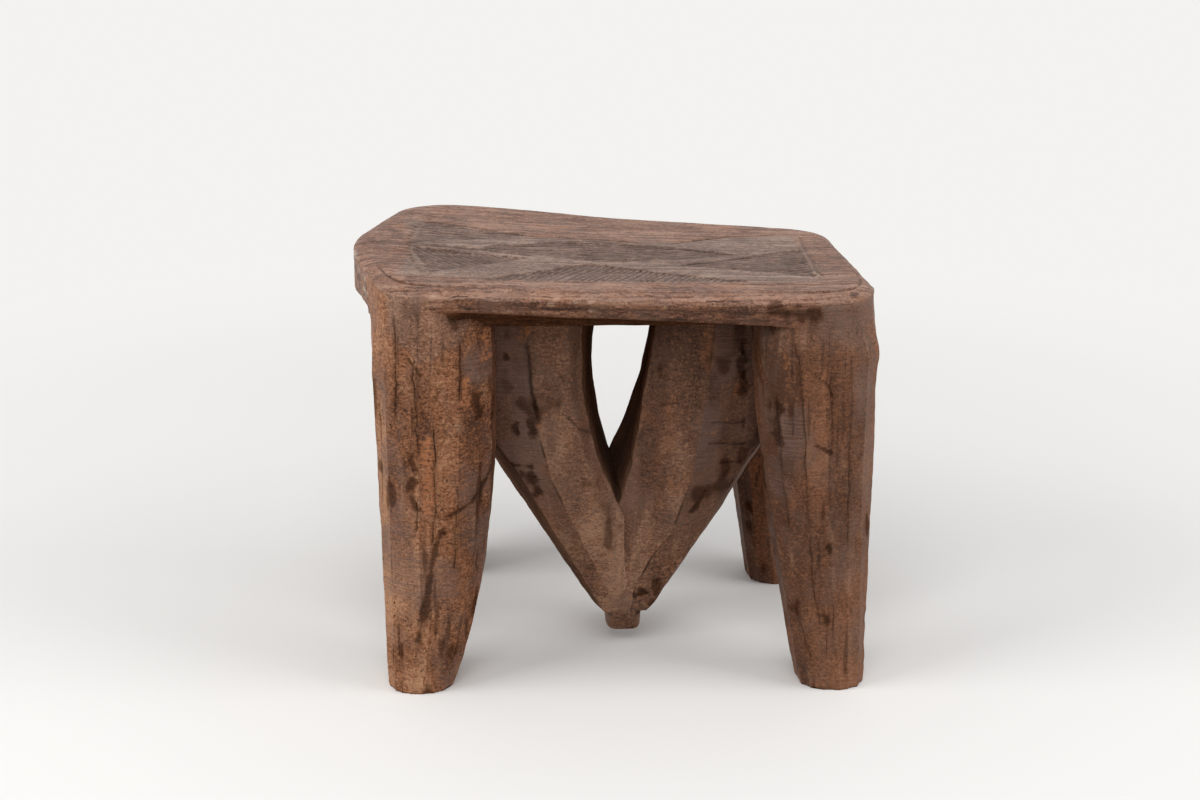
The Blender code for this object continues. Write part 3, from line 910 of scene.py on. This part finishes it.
def arm_relief(arm, away, z):
    """How far the face stands out, which facet it is on, nearness to the keel's line, and the fold.

    It swells from the slot up to a rib, is level as far as the keel and falls off to the outer edge; low
    down the arms' ribs join, with a fold along the join. The facet is 0 by the slot, 1 on the rib and -0.3
    beyond the keel.
    """
    rise = np.clip(z - TIP_HEIGHT, 0, None)
    crown = (3.5 + 3.0 * np.clip(rise / 0.06, 0, 1)) * MM
    start = np.maximum(table(z, arm["slot_front"]), 0)
    inner = np.maximum(table(z, arm["inner"]), start + 3 * MM)
    edge = outer_line(arm, rise) - table(z, arm["chamfer"])
    keel = np.minimum(table(z, arm["keel"]), edge - 2 * MM)
    joined = 1 - ease(0.050, 0.105, z)
    up = ease(start, inner, away)
    up = up + (1 - up) * joined
    down = np.clip((away - keel) / np.maximum(edge - keel, 0.02), 0, 1.2)
    facet = ease(inner - 4 * MM, inner, away) - 1.3 * ease(keel - 1 * MM, keel + 1 * MM, away)
    line = bell(away - keel - 0.8 * MM, 0.8 * MM)
    sunk = ease(0.0005, 0.004, -away) * 1.2 * MM
    fold = arm["fold"] * bell(away, 7 * MM) * ease(0.036, 0.055, z) * (1 - ease(0.100, 0.125, z))
    return crown * (up - 1.1 * down) - sunk + fold * MM, facet, line, fold


tip = arm_corners(ARMS["brace_arm_left"], np.array([TIP_HEIGHT + MM]))[0]
print("tip of the left arm, mm:", np.round(tip / MM, 1).tolist())

# %% Marks on the brace
ARM_CRACKS = {
    "brace_arm_left": (((-59, 246), (-56.5, 222), (-53.6, 202), (-51.5, 186)),),
    "brace_arm_right": (((93, 240), (95, 212), (97, 176)),),
}
ARM_STROKES = {
    "brace_arm_left": (((-30, 188), (-21, 179), (-12, 173)),),
    "brace_arm_right": (
        ((36, 197), (49, 198)),
        ((74, 182), (96, 181)),
        ((72, 166), (98, 164)),
        ((80, 150), (96, 149)),
    ),
}
ARM_STAINS = {
    "brace_arm_left": (
        (((-73, 236), (-72, 234)), 1.8),
        (((-67, 182), (-66, 178)), 2.4),
        (((-57, 184), (-54, 178)), 3.4),
        (((-53, 200), (-52, 192)), 2.0),
        (((-74, 151), (-56, 150)), 1.8),
        (((-63, 145), (-55, 140), (-52, 128)), 3.6),
    ),
    "brace_arm_right": (
        (((93, 244), (94, 206)), 3.4),
        (((24, 48), (27, 44), (20, 43)), 2.6),
        (((70, 128), (60, 112)), 2.2),
    ),
}
ARM_RUBS = {
    "brace_arm_left": ((((-51, 183), (-50, 181)), 1.8), (((-58, 256), (-62, 250)), 3.0)),
    "brace_arm_right": (
        (((73, 174), (77, 174)), 1.0),
        (((90, 203), (93, 218)), 2.0),
        (((23, 44), (24, 43)), 1.4),
    ),
}
print("stains on the brace:", sum(len(stains) for stains in ARM_STAINS.values()))

# %% Arm surface
FRONT_SIDE, LOWER_SIDE, BACK_SIDE, SLOT_SIDE = 0, 1, 4, 5
ARM_GROOVE_DEPTH = 1.2 * MM


def arm_grid(arm):
    """Columns spread along the section's sides and softened at the corners; the left arm is mirrored.

    Also returns what each point has of facet, keel line, fold and distance from a corner, and whether it is
    in the slot or on the lower side.
    """
    z = np.linspace(TIP_HEIGHT, BRACE_TOP, int((BRACE_TOP - TIP_HEIGHT) / ARM_STEP))
    corners = arm_corners(arm, z)
    lengths = np.linalg.norm(np.roll(corners, -1, axis=1) - corners, axis=-1).max(axis=0)
    counts = np.maximum(np.round(lengths / ARM_STEP).astype(int), 4)
    plan, side, share = along_sides(corners, counts)
    for _ in range(2):
        plan = (np.roll(plan, 1, axis=1) + 2 * plan + np.roll(plan, -1, axis=1)) / 4
    relief, *found = arm_relief(arm, plan[..., 0], z[:, None])
    on_front, on_back = side == FRONT_SIDE, side == BACK_SIDE
    plan[..., 1] = plan[..., 1] - relief * on_front + 0.8 * relief * on_back
    found = [value * (on_front | on_back) for value in found]
    found = found + [np.minimum(share, 1 - share) * lengths[side], side == SLOT_SIDE, side == LOWER_SIDE]
    found = [np.broadcast_to(value, plan.shape[:2]) for value in found]
    if arm["side"] < 0:
        plan = (plan * np.array([-1.0, 1.0]))[:, ::-1]
        found = [value[:, ::-1] for value in found]
    grid = np.concatenate([plan, np.broadcast_to(z[:, None, None], (*plan.shape[:2], 1))], axis=-1)
    return grid + np.array([JOIN, BRACE_MIDDLE, 0.0]), *found


def make_arm(name):
    """An arm: its grid hewn, cracked and cut, broken off at the lower end, and marked, painted light and
    shade included.
    """
    arm = ARMS[name]
    grid, facet, line, fold, away, in_slot, below = arm_grid(arm)
    normal = normals_of(grid)
    x, height = grid[..., 0], grid[..., 2]
    front = ease(0.2, 0.5, -normal[..., 1])
    # The keel's line is sunk as a shallow groove and painted dark as the shade of the step there.
    groove_and_shade = line * ease(-0.3, 0.6, rough(grid, 0.016, 401)) * 0.85
    for path in ARM_CRACKS[name]:
        broken = ease(-0.5, 0.6, rough(grid, 0.007, 403))
        groove_and_shade = np.maximum(groove_and_shade, front * crack_depth(x, height, path, 1.3) * broken)
    for path in ARM_STROKES[name]:
        groove_and_shade = np.maximum(groove_and_shade, 0.8 * front * bell(near_path(x, height, path), 0.8 * MM))
    stain_and_shade = 0.85 * front * smears(x, height, ARM_STAINS[name])
    stain_and_shade = np.maximum(stain_and_shade, 0.6 * ease(0.55, 0.95, rough(grid, (0.018, 0.018, 0.025), 83)))
    # Painted shade: the slot walls are darkened and warmed, and the lower chamfer is darkened as far as the
    # arm's below gives.
    stain_and_shade = np.maximum(stain_and_shade, 0.53 * in_slot + arm["below"] * below)
    rub_and_warm_shade = np.maximum(0.9 * front * smears(x, height, ARM_RUBS[name]), 0.6 * in_slot)
    rib = np.clip(facet, 0, 1)
    stria = ease(0.05, 0.3, -facet) * ease(0.08, 0.15, height) * ease(-0.6, 0.3, rough(grid, 0.03, 405))
    # Pale corners of the section: partly worn, partly a painted highlight.
    edge = bell(away, 1.8 * MM) * ease(-0.2, 0.7, rough(grid, 0.02, 89)) * 0.45
    # A painted highlight along the rib, fading out towards the seat.
    painted_rib_highlight = rib * (1 - ease(0.12, 0.21, height)) * ease(-0.7, 0.5, rough(grid, 0.014, 411))
    edge = np.maximum(edge, 0.30 * painted_rib_highlight)
    smooth = (0.9 - 0.5 * rib) * ease(0.05, 0.13, height)
    bottom = 1 - ease(TIP_HEIGHT, TIP_HEIGHT + 0.003, height)
    swell = hewn(grid) - (1.0 + 0.7 * rough(grid, 0.006, 61, 2)) * MM * bottom
    grid = grid + normal * (swell - ARM_GROOVE_DEPTH * groove_and_shade)[..., None]
    # Painted light and shade: the rib is lighter and the facets beyond the keel are darker; the fold is
    # lighter on the left arm and darker on the right.
    tone = 0.35 * rough(grid, (0.012, 0.012, 0.07), 421) + 0.28 * facet + 0.45 * fold
    marks = {"groove_and_shade": groove_and_shade, "stain_and_shade": stain_and_shade, "rub_and_warm_shade": rub_and_warm_shade, "edge": edge, "stria": stria, "smooth": smooth}
    # Painted shade darkens each arm towards the seat above it; the slot walls' base colour is lifted under
    # their painted shade.
    marks["tone"] = tone + arm["tone"] - 0.90 * ease(0.07, 0.25, height) + 0.65 * in_slot
    return make_piece(name, grid, tube_faces(height.shape), brace_wood, marks)


arms = [make_arm(name) for name in ARMS]

# %% [markdown]
# ## The stub
# Under the tip the carver left a short rounded stub. It is a squared circle carried down and rounded over at
# its lower edge. Its front leans out to the tip, and its top is hidden in it. A painted shadow darkens its
# top at both sides, under the tip.

# %% Stub surface
STUB_MIDDLE = (0.0125, -0.024)
STUB_HALF = (0.0139, 0.028)
STUB_TOP = 0.036
STUB_BOTTOM = 0.0105
STUB_ROUND = 0.0022
STUB_SQUARENESS = 5.0
STUB_TAPER = 0.05
STUB_LEAN = 0.009


def make_stub():
    """A plug: a squared circle whose lower edge turns in along a quarter circle; its front leans out."""
    turn = np.linspace(0, 2 * math.pi, 120, endpoint=False)[None, :]
    straight = np.linspace(STUB_BOTTOM + STUB_ROUND, STUB_TOP, 24)
    bend = np.linspace(math.pi / 2, 0, 8, endpoint=False)
    z = np.concatenate([STUB_BOTTOM + STUB_ROUND * (1 - np.sin(bend)), straight])[:, None]
    low = np.clip((STUB_BOTTOM + STUB_ROUND - z) / STUB_ROUND, 0, 1)
    less = STUB_ROUND * (1 - np.sqrt(np.clip(1 - low**2, 0, 1))) + STUB_TAPER * (STUB_TOP - z)
    x = STUB_MIDDLE[0] + (STUB_HALF[0] - less) * power(np.cos(turn), 2 / STUB_SQUARENESS)
    y = STUB_MIDDLE[1] + (STUB_HALF[1] - less) * power(np.sin(turn), 2 / STUB_SQUARENESS)
    y = y - STUB_LEAN * ease(STUB_BOTTOM, 0.030, z) * ease(0.0, 1.0, -np.sin(turn))
    grid = np.stack(np.broadcast_arrays(x, y, z), axis=-1)
    normal = normals_of(grid)
    grid = grid + normal * (0.8 * hewn(grid))[..., None]
    aside = np.abs(grid[..., 0] - STUB_MIDDLE[0]) / STUB_HALF[0]
    # A painted shadow at the top of both sides, under the overhang of the tip; nothing is cut there.
    groove_and_shade = 0.8 * ease(0.022, 0.029, grid[..., 2]) * ease(0.45, 0.85, aside)
    stain_and_shade = 0.7 * ease(0.3, 0.9, rough(grid, (0.006, 0.006, 0.02), 91))
    marks = {"groove_and_shade": groove_and_shade, "stain_and_shade": stain_and_shade, "tone": np.full(stain_and_shade.shape, 0.15)}
    return make_piece("brace_stub", grid, tube_faces(stain_and_shade.shape), brace_wood, marks)


stub = make_stub()

# %% [markdown]
# ## The carved panel
# The pattern is a common one: a lens in the middle, bands that part round it, and hatched triangles between
# the bands and the border. Each hatched field is a shape with a signed distance, positive inside. Inside it
# the wood is cut a little lower, and lines are cut in one direction across it.

# %% Panel fields
FIELDS = (
    {"corners": ((-131, 66), (-141, -3), (-55, 36)), "slope": -0.30, "pitch": 6.0},
    {"corners": ((-141, -9), (-124, -80), (-56, -31)), "slope": -1.30, "pitch": 4.4},
    {"corners": ((-88, -93), (100, -92), (-12, -40)), "slope": 1.60, "pitch": 4.4},
    {"corners": ((54, -41), (145, -75), (148, 14)), "slope": 0.45, "pitch": 6.0},
)
LENS = {"middle": (3, -4), "half": (91, 29), "slope": 0.30, "pitch": 6.0}
SCRIBED = (
    ((-131, 66), (-97, 57), (-55, 36), (0, 33), (29, 27)),
    ((53, 28), (97, 55), (135, 64)),
    ((-141, -3), (-88, -10), (-46, 15), (-8, 27), (36, 23), (94, -6), (148, 18)),
    ((-141, -7), (-88, -12), (-47, -25), (1, -34), (47, -24), (94, -8)),
    ((54, -41), (103, -14), (148, 16)),
)
LEFT_BORDER = ((-122.7, 88), (-130, 70), (-136.9, 49), (-141.7, 15), (-141, -28), (-133.5, -68), (-126, -86))
RIGHT_BORDER = ((152, 56), (150.3, 40), (148.5, 10), (148, -22), (146, -55), (148.2, -79))
BACK_LINE = (
    (-150, 70), (-131, 66), (-97, 57), (-55, 36), (0, 33),
    (29, 27), (53, 30), (97, 52), (135, 62), (150, 60),
)
NOTCH_PITCH = 9.0 * MM
FIELD_DEPTH = 0.7 * MM
HATCH_DEPTH = 1.0 * MM
SCRIBE_WIDTH = 1.3 * MM


def inside_triangle(x, y, corners):
    """Distance inside a triangle in metres: the least distance from its three sides."""
    corners = np.array(corners) * MM
    middle = corners.mean(axis=0)
    found = np.full(x.shape, np.inf)
    for a, b in zip(corners, np.roll(corners, -1, axis=0)):
        side = (b - a) / np.linalg.norm(b - a)
        normal = np.array([-side[1], side[0]])
        normal = normal * np.sign(normal @ (middle - a))
        found = np.minimum(found, (x - a[0]) * normal[0] + (y - a[1]) * normal[1])
    return found


def inside_lens(x, y):
    """Distance inside the lens: its half width at each place along it, less the distance from its axis."""
    (cx, cy), (half_length, half_width) = np.array(LENS["middle"]) * MM, np.array(LENS["half"]) * MM
    return half_width * np.clip(1 - np.abs(x - cx) / half_length, 0, 1) ** 0.62 - np.abs(y - cy)


def hatch(x, y, slope, pitch, seed):
    """Depth from 0 to about 1 of cut lines at one slope, unevenly spaced, and the count of lines so far."""
    across = (y - slope * x) / math.hypot(1, slope)
    along = (x + slope * y) / math.hypot(1, slope)
    spot = flat_spot(across, along)
    across = across + 0.0022 * noise(spot, (0.012, 0.03, 1), seed)
    wave = 0.5 - 0.5 * np.cos(2 * math.pi * across / (pitch * MM))
    cut = wave**2.2 * (0.62 + 0.55 * noise(spot, (0.006, 0.016, 1), seed + 1))
    return cut, across / (pitch * MM)


def hatched_fields(x, y, ragged):
    """Depth, cut lines, share inside any field, and count of lines, each the largest over the fields."""
    shapes = [(inside_triangle(x, y, field["corners"]), field) for field in FIELDS]
    shapes = shapes + [(inside_lens(x, y), LENS)]
    depth, cut, hatched, phase = np.zeros((4, *x.shape))
    for number, (distance, field) in enumerate(shapes):
        inside = ease(-0.0004, 0.0011, distance + ragged)
        lines, counted = hatch(x, y, field["slope"], field["pitch"], 140 + 5 * number)
        lines = inside * lines
        phase = np.where(inside > hatched, counted, phase)
        depth = np.maximum(depth, inside * FIELD_DEPTH + np.clip(lines, 0, 1) * HATCH_DEPTH)
        cut = np.maximum(cut, lines)
        hatched = np.maximum(hatched, inside)
    return depth, cut, hatched, phase


def panel(x, y):
    """Depth of the carving in metres, and marks for cut lines, grey or hatched wood, painted ridge
    highlights and phase.
    """
    spot = flat_spot(x, y)
    ragged = 0.0009 * rough(spot, 0.008, 131)
    depth, cut, hatched, phase = hatched_fields(x, y, ragged)
    clear = ease(-1.0, 0.2, rough(spot, 0.02, 133))
    pale = np.zeros(x.shape)
    for path in SCRIBED:
        away = near_path(x, y, path) + 0.4 * ragged
        depth = np.maximum(depth, 0.0010 * clear * bell(away, SCRIBE_WIDTH))
        cut = np.maximum(cut, 1.3 * clear * bell(away, SCRIBE_WIDTH))
        # pale is a painted highlight beside each scribed line, as on a ridge.
        pale = np.maximum(pale, 0.5 * clear * bell(away - 0.0030, SCRIBE_WIDTH))
    back = np.interp(x, *(np.array(BACK_LINE).T * MM))
    ends = ease(-0.143, -0.133, x + 0.1 * np.abs(y + 0.01)) * (1 - ease(0.143, 0.152, x))
    grey = ends * ease(-0.096, -0.084, y + ragged) * (1 - ease(back - 0.004, back + 0.004, y + ragged))
    notch = 0.5 + 0.5 * np.sin(2 * math.pi * (y + 0.3 * ragged) / NOTCH_PITCH)
    left = bell(near_path(x, y, LEFT_BORDER), 0.0020)
    right = bell(near_path(x - 0.002, y, RIGHT_BORDER), 0.0016)
    ridge = bell(near_path(x + 0.0012, y, RIGHT_BORDER), 0.0016)
    depth = np.maximum(depth + 0.0012 * left * notch, 0.0008 * right) - 0.0008 * ridge
    cut = np.maximum(np.maximum(cut, 0.75 * left * notch), 0.5 * right)
    # The right border's ridge gets a painted highlight; the left border is pale between its notches.
    pale = np.maximum(np.maximum(pale * (1 - hatched), 0.8 * ridge), 0.5 * left * (1 - notch))
    return depth, cut, np.maximum(0.48 * grey, hatched), pale, phase


sample_x, sample_y = np.meshgrid(np.linspace(-0.15, 0.15, 61), np.linspace(-0.1, 0.1, 41))
print("share of the panel that is greyed:", round(float(panel(sample_x, sample_y)[2].mean()), 2))

# %% [markdown]
# ## The seat
# The top is a grid stretched over the outline: a Coons patch, which blends the four sides of the outline
# into its inside. Round it go rings: over the soft shoulder, down the face of the rim, in along the undercut
# between the legs, and across the underside to the middle. One mesh holds it all, so it is closed.


# %% Seat surfaces
def coons(line):
    """A grid inside a closed line: sides blended across and deep, less the blend of the four corners."""
    front = line[: ACROSS + 1]
    right = line[ACROSS : ACROSS + DEEP + 1]
    back = line[ACROSS + DEEP : 2 * ACROSS + DEEP + 1][::-1]
    left = np.concatenate([line[2 * ACROSS + DEEP :], line[:1]])[::-1]
    u = np.linspace(0, 1, ACROSS + 1)[None, :, None]
    v = np.linspace(0, 1, DEEP + 1)[:, None, None]
    sides = (1 - v) * front[None] + v * back[None] + (1 - u) * left[:, None] + u * right[:, None]
    front_corners = (1 - u) * (1 - v) * front[0] + u * (1 - v) * front[-1]
    return sides - (front_corners + (1 - u) * v * back[0] + u * v * back[-1])


def border_index():
    """Numbers of the grid's border points, in the order of the outline."""
    index = np.arange((ACROSS + 1) * (DEEP + 1)).reshape(DEEP + 1, ACROSS + 1)
    return np.concatenate([index[0, :-1], index[:-1, -1], index[-1, :0:-1], index[:0:-1, 0]])


def seat_grain(points):
    """Swell of the top and rim: shallow dents, and ripples that run along the length of the block."""
    return 0.4 * MM * rough(points, 0.03, 161) + 0.16 * MM * rough(points, (0.06, 0.004, 0.004), 171, 2)


flat = coons(field_line)
border = border_index()
print("top grid:", flat.shape[:2], "points")

# %% Rings round the seat
SHOULDER_ROWS = 8
RIM_ROWS = 16
ARRIS_HEIGHT = 0.277
LEFT_ARRIS_LESS = 0.005
FRONT_ARRIS = 0.2745
FRONT_ARRIS_SLOPE = -0.0556
FRONT_LEAN = 0.003
UNDERCUT = 0.014
UNDERCUT_BULGE = 0.18
INSIDE_LEG = 0.0017
UNDERSIDE_INSET = 0.018


def rim_rings():
    """Rings from the shoulder's top edge over the rim and under the seat, as an array of rings."""
    rings = []
    for share in np.linspace(0, 1, SHOULDER_ROWS + 1)[1:]:
        plan = field_line + (top_line - field_line) * share
        z = seat_top(plan[:, 0], plan[:, 1]) - drop * (0.62 * share + 0.38 * share**3)
        rings.append(np.column_stack([plan, z]))
    lower = ARRIS_HEIGHT - LEFT_ARRIS_LESS * at_left
    lower = lower + (FRONT_ARRIS + FRONT_ARRIS_SLOPE * outline[:, 0] - lower) * at_front
    lower_line = outline + inward * (RIM_SETBACK + FRONT_LEAN * at_front * open_rim)[:, None]
    undercut = inward * (UNDERCUT * open_rim)[:, None]
    for share in np.linspace(0, 1, RIM_ROWS + 1)[1:]:
        down, under = min(2 * share, 1), max(2 * share - 1, 0)
        free = top_line + (lower_line - top_line) * down
        free = free + undercut * (under + UNDERCUT_BULGE * math.sin(math.pi * under))
        free_z = arris_height + (lower - arris_height) * down + (UNDERSIDE - lower) * under
        held = top_line + inward * INSIDE_LEG * float(ease(0.0, 0.3, share))
        held_z = arris_height + (UNDERSIDE - arris_height) * share
        plan = free * (1 - over_leg)[:, None] + held * over_leg[:, None]
        rings.append(np.column_stack([plan, free_z * (1 - over_leg) + held_z * over_leg]))
    last = rings[-1]
    inner = np.column_stack([outline + inward * UNDERSIDE_INSET, np.full(len(outline), UNDERSIDE)])
    for share in np.linspace(0, 1, 4)[1:]:
        rings.append(last + (inner - last) * share)
    for share in np.linspace(1, 0.05, 6)[1:]:
        rings.append(np.column_stack([inner[:, :2] * share, inner[:, 2]]))
    return np.array(rings)


rings = rim_rings()
rings = rings - normals_of(rings) * seat_grain(rings)[..., None]
ring_index = flat[..., 0].size + np.arange(rings[..., 0].size).reshape(rings.shape[:2])
print("rings:", rings.shape[:2], "points")


# %% Seat mesh
def scribed_border():
    """Strength of the line scribed round the field at the front: full at its corners, faint between them."""
    x, y = field_line.T
    corner = np.maximum(ease(0.08, 0.13, -x), ease(0.09, 0.14, x))
    return (0.2 + 0.8 * corner) * ease(0.05, 0.08, -y) * ease(-1.5, 0.0, rough(flat_spot(x, y), 0.02, 183))


def seat_mesh(depth, scribe):
    """Points and faces: the carved top grid, the rings sewn to its border, and a fan to a hub below."""
    x, y = flat[..., 0], flat[..., 1]
    top = np.stack([x, y, seat_top(x, y)], axis=-1)
    top[..., 2] = top[..., 2] + seat_grain(top) - depth
    index = np.concatenate([border[None], ring_index])
    hub = np.full(index.shape[1], ring_index.max() + 1)
    fan = np.stack([np.roll(index[-1], -1), index[-1], hub], axis=-1)
    faces = quads_of(np.arange(x.size).reshape(x.shape), False).tolist()
    faces = faces + quads_of(index, True)[:, ::-1].tolist() + fan.tolist()
    hub_point = np.append(rings[-1][:, :2].mean(axis=0), UNDERSIDE)
    points = np.concatenate([top.reshape(-1, 3), rings.reshape(-1, 3), hub_point[None]])
    points[border, 2] -= 0.0016 * scribe
    points[ring_index[0], 2] -= 0.0006 * scribe
    return points, faces


# %% Marks on the seat
SCRAPES = (
    ((-18, 297), (-37, 296.5), (-46, 294)),
    ((-38, 290), (-56, 288.5), (-74, 288.5)),
    ((-62, 281), (-76, 280), (-90, 279)),
)
SCRAPE_WIDTH = 0.9
SCRAPED_END = -0.15
RIM_SPLITS = (((-18, 282.5), (-6, 279.5), (12, 276.5)), ((20, 281), (44, 278.5), (70, 273)))
RIM_SMUDGE = ((106, 279.5), (122, 278.5), (131, 276))
CHIPS = (
    (-38, 289, 2.4), (-15.5, 287, 2.3), (-16, 280.5, 2.4), (-42, 285, 2.9),
    (34, 283.4, 2.2), (-27, 286.5, 1.8), (-121, 290, 2.6),
)
RIM_FRONT = -0.11


def rim_marks():
    """Marks of the rings: pale arrises, dark and smooth stretches and splits, and painted shade on face and
    undercut.
    """
    level = np.arange(len(rings))[:, None]
    middle = SHOULDER_ROWS + RIM_ROWS / 2 - 1
    arris = bell(level - SHOULDER_ROWS + 1, 1.3) + bell(level - middle, 1.0) * (1 - over_leg)
    face = ease(SHOULDER_ROWS, SHOULDER_ROWS + 3, level)
    lighter = ease(0.08, 0.12, -outline[:, 0])
    darker = ease(0.080, 0.115, outline[:, 0]) * at_front
    under = ease(middle, middle + 2, level) * open_rim
    x, z = rings[..., 0], rings[..., 2]
    on_front = rings[..., 1] < RIM_FRONT
    splits = ease(0.45, 0.8, rough(rings, (0.09, 0.09, 0.003), 195)) * face * open_rim
    for path in RIM_SPLITS:
        split = bell(near_path(x, z, path), 0.9 * MM) * on_front
        splits = np.maximum(splits, split * ease(-0.8, 0.4, rough(rings, 0.01, 197)))
    return {
        # Pale arrises, partly a painted highlight. Painted shade: the face and underside are darker than the
        # top, less so at the left end, and the undercut is darker and warmer still.
        "edge": 0.6 * arris * ease(-0.3, 0.6, rough(rings, 0.02, 181)),
        "tone": -face * (0.55 - 0.45 * lighter + 0.15 * darker),
        "smooth": 0.9 * face * darker,
        "rub_and_warm_shade": 0.6 * under,
        "stain_and_shade": np.maximum(0.85 * under, 0.75 * stroke(x, z, RIM_SMUDGE, 4.5) * on_front),
        "groove_and_shade": 0.8 * splits,
    }


def seat_marks(points, scribe, cut, grey, pale, phase):
    """Marks of the seat: the panel's on the top, the rim's on the rings, then scribe, scrapes and chips."""
    names = ("groove_and_shade", "field", "phase", "edge", "scrape", "rub_and_warm_shade", "stain_and_shade", "tone", "smooth")
    marks = {name: np.zeros(len(points)) for name in names}
    start = cut.size
    for name, values in {"groove_and_shade": 0.65 * cut, "field": grey, "phase": phase, "edge": pale}.items():
        marks[name][:start] = values.ravel()
    x, y, z = points.T
    marks["tone"] = 0.3 * ease(0.03, 0.08, np.abs(y + 0.01)) - 0.1
    for name, values in rim_marks().items():
        marks[name][start:-1] += values.ravel()
    at_right_end = ease(0.05, 0.14, field_line[:, 0])
    marks["groove_and_shade"][border] = (0.65 - 0.45 * at_right_end) * scribe
    marks["groove_and_shade"][ring_index[0]] = np.maximum(marks["groove_and_shade"][ring_index[0]], 0.2 * scribe)
    # A painted highlight along the shoulder towards the right end.
    marks["edge"][ring_index[1]] = 0.8 * at_right_end * scribe
    for path in SCRAPES:
        scraped = stroke(y, z, path, SCRAPE_WIDTH) * (x < SCRAPED_END)
        marks["scrape"] = np.maximum(marks["scrape"], scraped)
    for place, height, size in CHIPS:
        reach = np.hypot(x - place * MM, 1.6 * (z - height * MM)) / (size * MM)
        chip = (1 - ease(0.4, 1.2, reach + 0.6 * rough(points, 0.003, 191))) * (y < RIM_FRONT)
        marks["rub_and_warm_shade"] = np.maximum(marks["rub_and_warm_shade"], chip)
        marks["scrape"] = np.maximum(marks["scrape"], 0.6 * chip)
    return marks


# %% Carved seat
depth, *panel_marks = panel(flat[..., 0], flat[..., 1])
scribe = scribed_border()
points, faces = seat_mesh(depth, scribe)
marks = seat_marks(points, scribe, *panel_marks)
seat = make_piece("seat_slab", points, faces, seat_wood, marks)
print("pieces:", len([*legs, *arms, stub, seat]))

# %% [markdown]
# ## Floor, light and camera
# The stool stands on a plain pale floor that runs on past the picture. A soft lamp stands high in front,
# nearly in the middle, two of about the same strength stand at the sides, and a grey world fills the rest.
# So a colour comes out about as it is written. The camera, glossy faces and clear pieces see floor and
# world pale. What they throw as light at the wood is weaker, and from the floor warmer, as from a table top.

# %% Floor
FLOOR_SEEN = (0.90, 0.89, 0.87, 1.0)
FLOOR_BOUNCE = (0.40, 0.29, 0.18, 1.0)


def seen_rays(tree):
    """1 for rays that see the background: from the camera, or by way of a gloss or a clear piece."""
    path = add(tree, "ShaderNodeLightPath", {}).outputs
    gloss = maths(tree, "MAXIMUM", path["Is Glossy Ray"], path["Is Transmission Ray"])
    return maths(tree, "MAXIMUM", path["Is Camera Ray"], gloss)


def floor_paint():
    """A matt paint that is seen pale and bounces warm; far from the stool it turns into a pale glow."""
    paint = bpy.data.materials.new("floor_paint")
    paint.use_nodes = True
    tree = paint.node_tree
    shader = tree.nodes["Principled BSDF"]
    seen = seen_rays(tree)
    tree.links.new(mixed(tree, seen, FLOOR_BOUNCE, FLOOR_SEEN), shader.inputs["Base Color"])
    shader.inputs["Roughness"].default_value = 0.9
    where = add(tree, "ShaderNodeTexCoord", {}).outputs["Object"]
    away = add(tree, "ShaderNodeVectorMath", {0: where}, operation="LENGTH").outputs["Value"]
    far = maths(tree, "SMOOTH_MIN", scaled(tree, away, 1.7, -0.75), 1.0, 0.3)
    plain = add(tree, "ShaderNodeEmission", {"Color": FLOOR_SEEN})
    inputs = {0: times(tree, far, seen), 1: shader.outputs[0], 2: plain.outputs[0]}
    blend = add(tree, "ShaderNodeMixShader", inputs)
    tree.links.new(blend.outputs[0], tree.nodes["Material Output"].inputs["Surface"])
    return paint


def make_floor():
    """A large square sheet at the height of the feet."""
    side = np.linspace(-9, 9, 19)
    grid = np.stack(np.broadcast_arrays(side[None, :], side[:, None], 0.0), axis=-1)
    mesh = bpy.data.meshes.new("studio_floor")
    index = np.arange(grid.shape[0] * grid.shape[1]).reshape(grid.shape[:2])
    mesh.from_pydata(grid.reshape(-1, 3), [], quads_of(index, False).tolist())
    mesh.materials.append(floor_paint())
    floor = bpy.data.objects.new("studio_floor", mesh)
    bpy.context.scene.collection.objects.link(floor)
    return floor


floor = make_floor()
print("floor:", len(floor.data.polygons), "squares")

# %% Lamps and world
STOOL_MIDDLE = (0.0, 0.0, 0.15)
WORLD_LIGHT = (0.5, 0.5, 0.5, 1.0)


def soft_lamp(name, place, aim, size, power_watts):
    """A square lamp turned towards a point."""
    lamp = bpy.data.lights.new(name, "AREA")
    lamp.size = size
    lamp.energy = power_watts
    obj = bpy.data.objects.new(name, lamp)
    obj.location = place
    way = np.array(aim) - np.array(place)
    way = way / np.linalg.norm(way)
    obj.rotation_euler = (math.acos(-way[2]), 0.0, math.atan2(way[0], -way[1]) + math.pi)
    bpy.context.scene.collection.objects.link(obj)


soft_lamp("front_lamp", (-0.3, -1.9, 2.3), STOOL_MIDDLE, 1.6, 19)
soft_lamp("left_lamp", (-2.0, -0.7, 1.3), STOOL_MIDDLE, 1.4, 26)
soft_lamp("right_lamp", (2.0, -0.7, 1.3), STOOL_MIDDLE, 1.4, 22)
world = bpy.data.worlds.new("studio_world")
bpy.context.scene.world = world
world.use_nodes = True
tree = world.node_tree
sky_colour = mixed(tree, seen_rays(tree), WORLD_LIGHT, FLOOR_SEEN)
tree.links.new(sky_colour, tree.nodes["Background"].inputs["Color"])

# %% Camera
camera_data = bpy.data.cameras.new("photo_camera")
camera_data.lens = 60.0
camera_data.sensor_width = 36.0
camera = bpy.data.objects.new("photo_camera", camera_data)
camera.location = (-0.0844, -1.4225, 0.633)
camera.rotation_euler = (math.radians(72.2), 0.0, math.radians(-3.3))
bpy.context.scene.collection.objects.link(camera)
bpy.context.scene.camera = camera
bpy.context.scene.view_settings.view_transform = "Standard"
